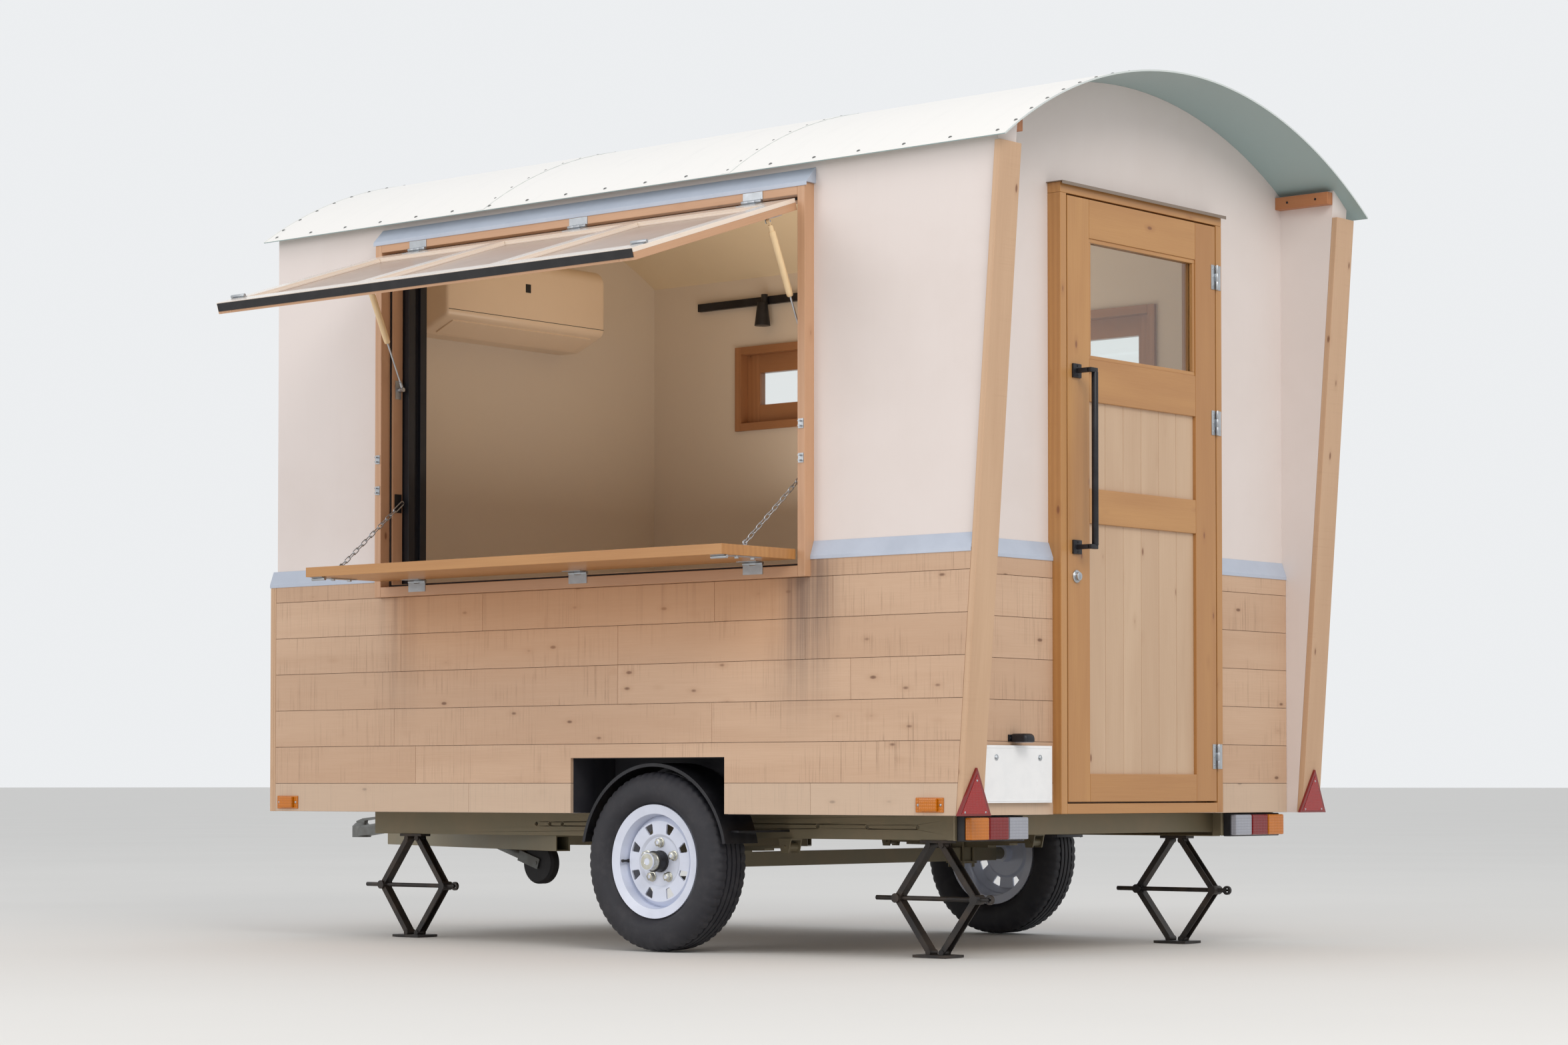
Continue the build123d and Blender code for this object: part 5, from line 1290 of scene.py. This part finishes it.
    def chains(self) -> None:
        """Round-wire stay chains with a spring hook at the jamb, running from the jamb to the counter."""
        foot, head = (Vector((0.0, *p)) for p in (self.chain_foot, self.chain_head))
        ahead = (head - foot).normalized()
        across = Vector((1.0, 0.0, 0.0))
        third = across.cross(ahead)
        total = (head - foot).length
        pitch = (total - self.chain_hook + 8.0) / self.chain_links
        for name, x in self.jambs(self.chain_inset):
            shape = Shape(81)
            base = Vector((x, 0.0, 0.0)) + foot
            for n in range(self.chain_links):
                middle = base + ahead * (pitch * (n + 0.5) + 1.0)
                side = third if n % 2 else across
                link = self.loop(middle, ahead, side, pitch / 2 + self.link_lap, self.link_r)
                shape.tube(link, self.link_wire, True)
            middle = base + ahead * (total - self.chain_hook / 2 + self.hook_in)
            hook = self.loop(middle, ahead, third, self.chain_hook / 2, self.hook_r)
            shape.tube(hook, self.hook_wire, True)
            piece = self.add(f"stay_chain_{name}", "zinc", shape, body=None, smooth=60.0)
            start, end = ((x * MM, p[0] * MM, p[1] * MM) for p in (self.chain_head, self.chain_foot))
            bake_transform(piece)
            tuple(start)
            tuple(end)
            if name == "rear":
                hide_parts("stay_chains")

    @staticmethod
    def loop(middle: Vector, ahead: Vector, side: Vector, half: float, radius: float) -> list[Vector]:
        """Points of a long round-ended loop."""
        reach = half - radius
        points = arc(reach, 0.0, radius, -90, 90, 8) + arc(-reach, 0.0, radius, 90, 270, 8)
        return [middle + ahead * far + side * out for far, out in points]

    def struts(self) -> None:
        """Sleeves on the gas struts' cylinders, and collars at the rods' eyes."""
        top, foot = Vector((0.0, *self.strut_top)), Vector((0.0, *self.strut_foot))
        down, length = (foot - top).normalized(), (foot - top).length
        tube = [
            (7.5, 30.0), (9.6, 31.0), (10.2, 36.0), (10.2, 215.0), (9.4, 226.0), (7.0, 229.0), (3.9, 229.5),
            (3.9, 226.2), (7.45, 226.1), (7.45, 31.0),
        ]
        start, end = (length - gap for gap in self.collar)
        ring = [(3.0, start), (5.4, start + 1), (5.4, end - 1), (3.0, end)]
        for name, x in self.jambs(self.strut_in):
            place = facing(top + Vector((x, 0.0, 0.0)), down)
            sleeve, collar = Shape(83), Shape(84)
            sleeve.lathe(tube, place, 24)
            collar.lathe(ring, place, 16)
            rides, slides = Body(f"strut_cylinder_{name}"), Body(f"strut_rod_{name}")
            self.add(f"strut_sleeve_{name}", "strut_beige", sleeve, body=rides, smooth=35.0)
            self.add(f"strut_collar_{name}", "zinc", collar, body=slides, smooth=35.0)

    def build(self) -> None:
        """Makes the hatch and what hangs in it."""
        self.casing()
        self.struts()
        self.awning()
        self.counter()
        self.chains()


@dataclass
class Door(Assembly):
    """Boarded door with a glass, in its casing, at the rear end wall."""

    casing_t: float = 30.0
    proud: float = 30.0
    leaf_t: float = 36.0
    gap: float = 5.0
    stile: float = 110.0
    stop: float = 12.0
    stop_t: float = 20.0
    pane: tuple[float, float] = (1342.0, 1700.0)
    panels: tuple = ((960.0, 1217.0), (119.0, 857.0))
    boards: int = 6
    hinge_heights: tuple[float, float, float] = (174.0, 1205.0, 1657.0)
    pull: tuple[float, float] = (787.0, 1297.0)
    lock: float = 697.0
    lock_in: float = 41.0
    bar_in: float = 64.0
    bar_out: float = 52.0
    bar_r: float = 10.0
    arm_half: float = 7.0
    plate_half: float = 21.0
    knuckle_half: float = 12.6
    hinge_half: float = 38.0

    @property
    def face(self) -> float:
        """Outer face of the leaf and the casing."""
        return PLAN.rear_x - self.proud

    @property
    def half(self) -> float:
        """Half the width of the leaf."""
        return PLAN.door_w / 2 - self.casing_t - self.gap

    def casing(self) -> None:
        """Boards of the casing and its stop."""
        t, x0, x1 = self.casing_t, self.face, PLAN.room_rear_x
        half = PLAN.door_w / 2
        inner, stop = half - t, x0 + self.leaf_t + self.gap
        z0, z1 = PLAN.base_z + 2, PLAN.base_z + PLAN.door_head
        shape = Shape(91)
        for sign in SIDES:
            shape.box((x0, sign * inner, z0), (x1, sign * half, z1 - t - SEAM), 1.6, Axis.Z)
            near = sign * (inner - self.stop)
            shape.box((stop, near, z0 + t), (stop + self.stop_t, sign * inner, z1 - t), 1.0, Axis.Z)
        shape.box((x0, -half, z1 - t), (x1, half, z1), 1.6, Axis.Y)
        shape.box((x0, SEAM - inner, z0), (x1, inner - SEAM, z0 + t), 1.6, Axis.Y)
        reach = inner - self.stop
        for low in (z0 + t, z1 - t - self.stop):
            shape.box((stop, -reach, low), (stop + self.stop_t, reach, low + self.stop), 1.0, Axis.Y)
        self.add("door_boards", "varnished", shape, "door_casing")

    def leaf(self) -> None:
        """Stiles, rails, boarded panels and glazing beads of the leaf."""
        base, x0, x1 = PLAN.base_z, self.face, self.face + self.leaf_t
        inset = self.casing_t + self.gap
        z0, z1 = base + 2 + inset, base + PLAN.door_head - inset
        opening = self.half - self.stile
        shape = Shape(97)
        for sign in SIDES:
            shape.box((x0, sign * opening, z0), (x1, sign * self.half, z1), 1.8, Axis.Z)
        edges = [z0, *(base + v for row in sorted([*self.panels, self.pane]) for v in row), z1]
        for low, high in zip(edges[::2], edges[1::2]):
            shape.box((x0, SEAM - opening, low), (x1, opening - SEAM, high), 1.8, Axis.Y)
        beads = Shape(98)
        low, high = (base + v for v in self.pane)
        for a, b in ((x0 + 3, x0 + 15), (x1 - 15, x1 - 3)):
            corner, far = (a, -opening, low), (b, opening, high)
            beads.frame(corner, far, Axis.X, (12.0, 12.0), 1.5, (Axis.Z, Axis.Y), True)
        self.add("door_frame_boards", "varnished", shape, "door_leaf", Body.DOOR)
        self.add("door_glass_beads", "varnished", beads, body=Body.DOOR)
        panels = Shape(99)
        pitch, groove = 2 * opening / self.boards, 0.2
        for low, high in self.panels:
            for n in range(self.boards):
                a = n * pitch - opening
                corner = (x0 + 10, a + groove, base + low - 4)
                far = (x1 - 10, a + pitch - groove, base + high + 4)
                panels.box(corner, far, 2.2, Axis.Z)
        self.add("door_panel_boards", "panel_wood", panels, body=Body.DOOR)

    def handle(self) -> None:
        """Pull handle: a round bar on two brackets."""
        shape = Shape(100)
        face, base = self.face, PLAN.base_z
        bar_x, bar_y, plate_y = face - self.bar_out, self.half - self.bar_in, self.half - self.lock_in
        r, arm, plate = self.bar_r, self.arm_half, self.plate_half
        low, high = (base + v for v in self.pull)
        long = high - low
        rod = [(0.0, 0.0), (r - 1, 0.0), (r, 1.5), (r, long - 1.5), (r - 1, long), (0.0, long)]
        shape.lathe(rod, Matrix.Translation((bar_x, bar_y, low)), 28)
        for z in (low - 4, high + 4):
            shape.box((face - arm, plate_y - plate, z - plate), (face, plate_y + plate, z + plate), 2.6)
            shape.box((bar_x - arm, bar_y - arm, z - arm), (bar_x + arm, plate_y + arm, z + arm), 2.2, Axis.Y)
            shape.box((bar_x, plate_y - arm, z - arm), (face - 6, plate_y + arm, z + arm), 2.2)
            for dz in (-15.0, 15.0):
                shape.screw((face - arm, plate_y, z + dz), (-1.0, 0.0, 0.0), 3.4)
        self.add("door_pull", "black_metal", shape, "door_hardware", Body.DOOR, 35.0)

    def steel(self) -> None:
        """Key lock, and the moving leaves of the hinges."""
        shape = Shape(102)
        face, lock_y, lock_z = self.face, self.half - self.lock_in, PLAN.base_z + self.lock
        rose = [
            (0.0, 0.0), (19.0, 0.0), (19.0, 3.0), (16.8, 5.0), (12.4, 5.4), (12.4, 13.0), (11.0, 14.0),
            (0.0, 14.0),
        ]
        shape.lathe(rose, facing((face, lock_y, lock_z), (-1.0, 0.0, 0.0)), 40)
        shape.box((face - 15.2, lock_y - 1.0, lock_z - 7), (face - 13.8, lock_y + 1.0, lock_z + 7), 0.2)
        axis_y = -(self.half + self.gap / 2)
        k, tall = self.knuckle_half, self.hinge_half
        knuckle = [(0.0, -k), (4.6, -k), (5.0, 0.6 - k), (5.0, k - 0.6), (4.6, k), (0.0, k)]
        for height in self.hinge_heights:
            z = PLAN.base_z + height
            shape.box((face - 2, axis_y + 6, z - tall), (face, axis_y + 26, z + tall), 0.5, Axis.Z)
            shape.box((face - 2, axis_y, z - k), (face, axis_y + 6, z + k), 0.3, Axis.Z)
            shape.lathe(knuckle, Matrix.Translation((face - 5.3, axis_y, z)), 20)
            for dz in (-26.0, 0.0, 26.0):
                shape.screw((face - 2, axis_y + 17, z + dz), (-1.0, 0.0, 0.0), 3.2)
        self.add("door_lock_and_hinges", "zinc", shape, body=Body.DOOR, smooth=35.0)

    def build(self) -> None:
        """Makes the door."""
        self.casing()
        self.leaf()
        self.handle()
        self.steel()


@dataclass
class Windows(Assembly):
    """Framed slit windows in the far wall."""

    centres: tuple[float, float] = (-1320.0, -2645.0)
    width: float = 500.0
    height: float = 304.0
    low: float = 1365.0
    frame_t: float = 28.0
    side: float = 60.0
    rail: float = 66.0
    proud: float = 12.0
    sash_half: float = 16.0

    def build(self) -> None:
        """Makes the frames and sashes."""
        shape = Shape(111)
        t, grains = self.frame_t, (Axis.Z, Axis.X)
        y0, y1 = -PLAN.wall_y - self.proud, -PLAN.inner_y + self.proud
        mid = -(PLAN.wall_y + PLAN.inner_y) / 2
        z0 = PLAN.base_z + self.low
        z1 = z0 + self.height
        for x in self.centres:
            a, b = x - self.width / 2, x + self.width / 2
            shape.frame((a, y0, z0), (b, y1, z1), Axis.Y, (t, t), 1.5, grains)
            corner, far = (a + t, mid - self.sash_half, z0 + t), (b - t, mid + self.sash_half, z1 - t)
            shape.frame(corner, far, Axis.Y, (self.side, self.rail), 1.2, grains)
        self.add("window_boards", "window_wood", shape, "window_frames")


@dataclass
class Wheels(Assembly):
    """Tyres with a road tread, and what shows of the hubs."""

    nuts: int = 5
    nut_circle: float = 57.15
    steps: int = 180
    grooves: tuple = (30.0, 10.0, -10.0, -30.0)
    block_cut: float = 3.5
    block_steps: int = 3
    shoulder: tuple[float, float] = (20.0, 33.0)
    valve_r: float = 131.0

    def profile(self) -> Outline:
        """Half section of the tyre: (radius, out from the middle)."""
        r, rim, half = PLAN.tyre_r, PLAN.rim_r, PLAN.tyre_w / 2
        return [
            (rim - 20, 52.0), (rim + 1, 52.0), (rim + 4, 56.0), (rim + 9, half - 13), (rim + 20, half - 4),
            (rim + 36, half), (rim + 52, half - 1), (r - 30, half - 4), (r - 18, half - 10),
            (r - 9, half - 17), (r - 4, half - 24), (r - 2.5, half - 31),
        ]

    def tyre(self, name: str, side: int, body: Body) -> None:
        """One tyre: a smooth casing, ribs of the tread, and shoulder blocks.

        Args:
            name: "left" or "right".
            side: 1 on the left.
            body: The wheel's body.
        """
        half, r = self.profile(), PLAN.tyre_r
        outline = list(half)
        groove = ((-1.5, 3.2), (-8.0, 2.2), (-8.0, -2.2), (-1.5, -3.2))
        for centre in self.grooves:
            outline += [(r + rise, centre + out) for rise, out in groove]
        outline += [(radius, -out) for radius, out in reversed(half)]
        loops = []
        depth, start = self.shoulder
        for n in range(self.steps):
            turn = 2 * math.pi * n / self.steps
            ring = []
            for radius, out in outline:
                if radius > r - depth and abs(out) > start and n % self.block_steps == 0:
                    radius -= self.block_cut
                ring.append(Vector((radius * math.cos(turn), out, radius * math.sin(turn))))
            loops.append(ring)
        shape = Shape(121)
        shape.loft(loops, True, Axis.Y, Matrix.Translation((PLAN.axle_x, side * PLAN.wheel_y, PLAN.axle_z)))
        self.add(f"tyre_tread_{name}", "tyre_rubber", shape, f"tyre_{name}", body, 32.0)

    def hub(self, name: str, side: int, body: Body) -> None:
        """Sleeve, cap, nuts with their washers and the valve of one wheel.

        Args:
            name: "left" or "right".
            side: 1 on the left.
            body: The wheel's body.
        """
        out = facing((PLAN.axle_x, side * PLAN.wheel_y, PLAN.axle_z), (0.0, side, 0.0))
        sleeve, cap, valve = Shape(122), Shape(123), Shape(124)
        ribs = [
            (0.0, 27.0), (31.0, 28.2), (33.0, 28.2), (33.0, 34.0), (31.0, 35.0), (31.0, 56.0), (32.0, 57.0),
            (32.0, 62.0), (26.5, 63.0), (0.0, 63.0),
        ]
        sleeve.lathe(ribs, out, 40)
        dome = [
            (0.0, 62.5), (27.6, 62.5), (27.6, 68.0), (26.8, 69.0), (26.8, 84.0), (24.0, 90.4), (11.0, 90.6),
            (9.5, 88.4), (0.0, 88.4),
        ]
        cap.lathe(dome, out, 40)
        washer = [(15.5, 28.1), (15.5, 30.0), (13.6, 31.0)]
        nut = [(13.0, 30.6), (13.0, 42.0), (10.4, 44.0), (7.0, 44.4), (6.2, 42.0), (0.0, 42.0)]
        for n in range(self.nuts):
            turn = math.pi / 2 + 2 * math.pi * n / self.nuts
            across, up = self.nut_circle * math.cos(turn), self.nut_circle * math.sin(turn)
            spot = out @ Matrix.Translation((across, up, 0.0))
            cap.lathe(washer, spot, 20)
            cap.lathe(nut, spot, 6)
        stem = [(5.5, 14.0), (5.5, 32.0), (3.6, 34.0), (3.6, 50.0), (4.6, 51.0), (4.6, 58.0), (0.0, 59.0)]
        valve.lathe(stem, out @ Matrix.Translation((-self.valve_r, 0.0, 0.0)), 14)
        self.add(f"hub_sleeve_{name}", "black_metal", sleeve, body=body, smooth=35.0)
        self.add(f"hub_cap_{name}", "hub_silver", cap, body=body, smooth=35.0)
        self.add(f"valve_{name}", "seal_rubber", valve, body=body, smooth=35.0)

    def build(self) -> None:
        """Makes both wheels."""
        for name, side, body in (("left", 1, Body.WHEEL_LEFT), ("right", -1, Body.WHEEL_RIGHT)):
            self.tyre(name, side, body)
            self.hub(name, side, body)


@dataclass
class Lamps(Assembly):
    """Tail lamps, side markers, rear triangles, and the number plate with the lamp over it."""

    inner: float = 545.0
    outer: float = 825.0
    lens_ends: tuple[float, float] = (92.0, 186.0)
    height: float = 72.0
    depth: float = 48.0
    lens_t: float = 22.0
    lens_edge: float = 4.0
    marker_places: tuple[float, float] = (-656.0, -3338.0)
    plate_inset: float = 5.0
    plate_bar: float = 3.0
    bolt_pitch: float = 210.0
    bolt_rise: float = 130.0
    marker_rise: float = 9.0
    marker_half: float = 49.5
    marker_lens_half: float = 31.0
    marker_h: float = 42.0
    triangle_half: float = 62.0
    triangle_foot: float = 5.5
    triangle_point: float = 18.0

    @property
    def span(self) -> tuple[float, float]:
        """Lower and upper edge of the tail lamps."""
        top = PLAN.base_z - 2
        return top - self.height, top

    def housings(self) -> None:
        """Black housings of the tail lamps."""
        shape = Shape(131)
        x0, x1 = PLAN.rear_x + self.lens_t - 2, PLAN.rear_x + self.depth
        low, high = self.span
        for sign in SIDES:
            shape.box((x0, sign * self.inner, low), (x1, sign * self.outer, high), 3.0, Axis.Y)
        self.add("tail_lamp_housings", "black_metal", shape, "tail_lamps")

    def lenses(self) -> None:
        """An amber, a red and a clear lens on each tail lamp, from the outer end inwards."""
        x0, x1 = PLAN.rear_x, PLAN.rear_x + self.lens_t
        low, high = self.span[0] + self.lens_edge, self.span[1] - self.lens_edge
        cuts = (self.outer, *(self.outer - end for end in self.lens_ends), self.inner)
        names = ("amber_lens", "red_lens", "clear_lens")
        for seed, (name, far, near) in enumerate(zip(names, cuts, cuts[1:]), 132):
            shape = Shape(seed)
            for sign in SIDES:
                shape.box((x0, sign * (far - 3), low), (x1, sign * (near + 1), high), 4.5, Axis.Y)
            self.add(f"tail_{name}", name, shape)

    def markers(self) -> None:
        """Amber lamps low on both sides, each a lens on a base with two screws."""
        shape, screws = Shape(135), Shape(136)
        z = PLAN.base_z + self.marker_rise
        half, glass, tall = self.marker_half, self.marker_lens_half, self.marker_h
        wall, base, front = PLAN.face_y, PLAN.face_y + 4, PLAN.face_y + 14
        for sign in SIDES:
            for x in self.marker_places:
                shape.box((x - half, sign * wall, z), (x + half, sign * base, z + tall), 1.8)
                shape.box((x - glass, sign * base, z + 3), (x + glass, sign * front, z + tall - 3), 3.6)
                for dx in (-40.0, 40.0):
                    screws.screw((x + dx, sign * base, z + tall / 2), (0.0, sign, 0.0), 4.2)
        self.add("side_marker_lenses", "amber_lens", shape, "side_markers")
        self.add("side_marker_screws", "zinc", screws, smooth=50.0)

    def triangles(self) -> None:
        """Reflecting faces and screws on the two rear triangles."""
        tilt = Vector((-PLAN.wing_lean, 0.0, PLAN.eave_height)).normalized()
        out = Vector((-tilt.z, 0.0, tilt.x))
        turn = Matrix((Vector((0.0, 1.0, 0.0)), tilt, out)).transposed().to_4x4()
        low, high = (v.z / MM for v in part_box("rear_triangles"))
        half, base, peak = self.triangle_half, self.triangle_foot, high - low - self.triangle_point
        middle = (PLAN.face_y + PLAN.inner_y) / 2
        faces, screws = Shape(137), Shape(138)
        for sign in SIDES:
            place = Matrix.Translation((PLAN.wing_x(PLAN.base_z), sign * middle, PLAN.base_z)) @ turn
            faces.prism([(-half, base), (half, base), (0.0, peak)], 8.6, 10.4, Axis.Z, 0.8, Axis.X, place)
            for x, y in ((-48.0, base * 1.9), (48.0, base * 1.9), (0.0, peak * 0.84)):
                screws.screw(place @ Vector((x, y, 10.0)), out, 3.4)
        self.add("triangle_faces", "red_reflector", faces)
        self.add("triangle_screws", "zinc", screws, smooth=50.0)

    def plate_light(self) -> None:
        """Hooded lamp over the plate on a thin bracket, with its lens looking down."""
        low, high = (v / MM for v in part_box("plate_lamp"))
        middle = (low.y + high.y) / 2
        shape, lens = Shape(144), Shape(145)
        shape.box((high.x - 4, low.y, low.z + 3), (high.x, high.y, high.z - 3), 1.2, Axis.Y)
        shape.box((high.x - 12, middle - 20, low.z + 4), (high.x - 3, middle + 20, high.z - 2), 2.0, Axis.Y)
        stations = rounded(middle - 24, middle + 24, [(0.0, 9.0), (2.0, 4.0), (7.0, 0.8), (12.0, 0.0)])
        shape.loft([self.hood(low, high, y, inset) for y, inset in stations], False, Axis.Y)
        for y in (low.y + 8, high.y - 8):
            shape.screw((high.x - 4, y, (low.z + high.z) / 2), (-1.0, 0.0, 0.0), 3.4)
        self.add("plate_light_housing", "black_metal", shape, "plate_lamp", smooth=40.0)
        lens.box((low.x + 5, middle - 17, low.z), (high.x - 13, middle + 17, low.z + 3.2), 0.8, Axis.Y)
        self.add("plate_light_lens", "clear_lens", lens)

    @staticmethod
    def hood(low: Vector, high: Vector, y: float, inset: float) -> list[Vector]:
        """One section of the lamp's rounded hood, drawn in by an inset."""
        front, back, foot, top = low.x + inset, high.x - 8, low.z + 1.5, high.z - inset * 0.6
        radius = (high.z - low.z) * 0.55
        curve = arc(front + radius, top - radius, radius, 180, 90)
        return [Vector((x, y, z)) for x, z in ((back, foot), (front, foot), *curve, (back, top))]

    def plate(self) -> None:
        """Raised edge and two bolts of the blank number plate."""
        low, high = (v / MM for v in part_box("number_plate"))
        rim, bolts = Shape(139), Shape(140)
        inset, bar = self.plate_inset, self.plate_bar
        corner = (low.x - 0.9, low.y + inset, low.z + inset)
        far = (low.x + 0.4, high.y - inset, high.z - inset)
        rim.frame(corner, far, Axis.X, (bar, bar), 0.5, (Axis.Y, Axis.Y), True)
        self.add("plate_rim", "plate_white", rim)
        middle = (low.y + high.y) / 2
        for dy in (-self.bolt_pitch / 2, self.bolt_pitch / 2):
            spot = facing((low.x, middle + dy, low.z + self.bolt_rise), (-1.0, 0.0, 0.0))
            bolts.lathe([(0.0, -0.4), (9.0, -0.4), (9.0, 1.2), (5.8, 1.4)], spot, 20)
            bolts.lathe([(6.0, 1.0), (6.0, 4.4), (5.2, 5.0), (0.0, 5.0)], spot, 6)
        self.add("plate_bolts", "zinc", bolts, smooth=35.0)

    def build(self) -> None:
        """Makes the lamps and what belongs to the plate."""
        self.housings()
        self.markers()
        self.triangles()
        self.plate_light()
        self.plate()
        self.lenses()


@dataclass
class Cooler(Assembly):
    """Wall-hung cooler in the room: a rounded body with louver, seam, intake slots and a dark window."""

    depth: float = 210.0
    width: float = 780.0
    middle: float = 40.0
    low: float = 1714.0
    height: float = 282.0
    slots: int = 9
    slot_pitch: float = 14.0
    louver_tilt: float = 23.5
    front_r: float = 46.0
    lip_r: float = 30.0
    lip_z: float = 72.0
    lip_in: float = 132.0

    def section(self, inset: float) -> Outline:
        """Outline as (out from the wall, up), drawn in by an inset."""
        out, top, big, small = self.depth - inset, self.height - inset, self.front_r, self.lip_r
        return [
            (0.0, top),
            *arc(out - big, top - big, big, 90, 0),
            *arc(out - small, inset + self.lip_z, small, 0, -60),
            *arc(out - self.lip_in, inset + small, small, -66, -90),
            (0.0, inset),
        ]

    def build(self) -> None:
        """Makes the body, its dark parts and its louver."""
        body, dark, louver = Shape(141), Shape(142), Shape(143)
        y0, y1 = self.middle - self.width / 2, self.middle + self.width / 2
        wall, low, top = PLAN.room_front_x, self.low, self.low + self.height
        stations = rounded(y0, y1, [(0.0, 13.0), (2.0, 6.0), (7.0, 1.8), (14.0, 0.0)])
        sections = [(y, self.section(inset)) for y, inset in stations]
        loops = [[Vector((wall - out, y, low + up)) for out, up in outline] for y, outline in sections]
        body.loft(loops, along=Axis.Y)
        self.add("cooler_body", "appliance", body, "air_conditioner", smooth=40.0)
        front = wall - self.depth
        seam = low + self.lip_z
        dark.box((front - 0.5, y0 + 8, seam), (front + 3, y1 - 8, seam + 2), 0.2, Axis.Y)
        dark.box((front - 0.8, self.middle - 13, low + 166), (front + 3, self.middle + 13, low + 196), 1.0)
        for n in range(self.slots):
            x = front + 62 + n * self.slot_pitch
            dark.box((x, y0 + 40, top - 2), (x + 6, y1 - 40, top + 0.8), 0.4, Axis.Y)
        self.add("cooler_dark_parts", "screen_black", dark)
        tilt = Matrix.Rotation(math.radians(self.louver_tilt), 4, "Y")
        place = Matrix.Translation((front + 66, 0.0, low + 24)) @ tilt
        louver.box((-44, y0 + 50, -4), (44, y1 - 50, 1.0), 1.2, Axis.Y, place)
        self.add("cooler_louver", "appliance", louver)


@dataclass
class Studio:
    """Floor, light and camera."""

    eye: Spot = (-9.434, 8.776, 0.172)
    heading: float = -49.75
    pitch: float = 1.72
    lens: float = 81.0
    lift: float = 0.10
    sky: float = 0.80
    lamps: tuple = (
        # name, place, aim, power in watts, size in metres, colour
        ("key", (-12.5, 6.0, 9.0), (-2.2, 0.0, 0.9), 640.0, 6.0, (1.0, 0.97, 0.93)),
        ("fill", (2.5, 12.0, 4.5), (-2.0, 0.0, 1.2), 300.0, 6.0, (1.0, 0.98, 0.97)),
        ("room", (-1.95, -0.1, 1.15), (-1.95, -0.1, 2.2), 7.6, 1.1, (1.0, 0.91, 0.79)),
    )

    @staticmethod
    def put(name: str, data: bpy.types.ID, spot: Spot, ahead: Vector | None = None) -> bpy.types.Object:
        """Places an object, with its -Z axis ahead where that is given."""
        thing = bpy.data.objects.new(name, data)
        thing.location = spot
        if ahead:
            thing.rotation_euler = ahead.to_track_quat("-Z", "Y").to_euler()
        bpy.context.scene.collection.objects.link(thing)
        return thing

    def floor(self) -> None:
        """A pale floor that runs out of sight."""
        bm = bmesh.new()
        bmesh.ops.create_grid(bm, x_segments=1, y_segments=1, size=600.0)
        mesh = bpy.data.meshes.new("floor")
        bm.to_mesh(mesh)
        bm.free()
        book = Book("pale_floor")
        colour = book.mix(book.noise(book.place(), 0.6), rgb(226, 224, 220), rgb(220, 218, 214))
        mesh.materials.append(book.close({"Base Color": colour, "Roughness": 0.9}))
        self.put("floor", mesh, (0.0, 0.0, PLAN.ground_z * MM - 0.001))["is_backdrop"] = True

    def world(self) -> None:
        """Soft sky all round, which looks pale where it is seen, mirrored or seen through glass."""
        world = bpy.data.worlds.new("sky")
        world.use_nodes = True
        tree = world.node_tree
        plain = tree.nodes["Background"]
        plain.inputs["Color"].default_value = (0.95, 0.97, 1.0, 1.0)
        plain.inputs["Strength"].default_value = self.sky
        pale = tree.nodes.new("ShaderNodeBackground")
        pale.inputs["Color"].default_value = rgb(236, 238, 240)
        path = tree.nodes.new("ShaderNodeLightPath")
        seen = path.outputs["Is Camera Ray"]
        for name in ("Is Glossy Ray", "Is Transmission Ray"):
            either = tree.nodes.new("ShaderNodeMath")
            either.operation = "MAXIMUM"
            tree.links.new(seen, either.inputs[0])
            tree.links.new(path.outputs[name], either.inputs[1])
            seen = either.outputs[0]
        choice = tree.nodes.new("ShaderNodeMixShader")
        for n, source in enumerate((seen, plain.outputs[0], pale.outputs[0])):
            tree.links.new(source, choice.inputs[n])
        tree.links.new(choice.outputs[0], tree.nodes["World Output"].inputs["Surface"])
        bpy.context.scene.world = world

    def lights(self) -> None:
        """Two large soft lamps outside, and a small one that lights the room's ceiling."""
        for name, spot, aim, power, size, colour in self.lamps:
            data = bpy.data.lights.new(name, "AREA")
            data.energy = power
            data.size = size
            data.color = colour
            self.put(name, data, spot, Vector(aim) - Vector(spot)).visible_camera = False

    def camera(self) -> None:
        """The camera, where the photograph was taken from."""
        data = bpy.data.cameras.new("camera")
        data.lens = self.lens
        data.sensor_width = 36.0
        data.shift_y = self.lift
        data.clip_end = 2000.0
        turn, tilt = math.radians(self.heading), math.radians(self.pitch)
        ahead = Vector((math.cos(turn) * math.cos(tilt), math.sin(turn) * math.cos(tilt), math.sin(tilt)))
        bpy.context.scene.camera = self.put("camera", data, self.eye, ahead)
        bpy.context.scene.view_settings.view_transform = "Standard"

    def build(self) -> None:
        """Makes the stage."""
        self.camera()
        self.floor()
        self.world()
        self.lights()


def corners(bounds: tuple[Vector, Vector]) -> list[list[float]]:
    """A box as plain lists."""
    return [list(corner) for corner in bounds]


def main() -> None:
    """Builds the studio, then the trailer assembly by assembly, and works out its bounds before and after."""
    logging.basicConfig(level=logging.INFO)
    before = corners(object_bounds())
    Studio().build()
    finishes = Finishes()
    for assembly in (Carried, Cladding, Roof, Hatch, Door, Windows, Wheels, Lamps, Cooler):
        assembly(finishes).build()
        log.info("%s built", assembly.__name__)
    {"cad": before, "visual": corners(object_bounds())}


if __name__ == "__main__":
    main()
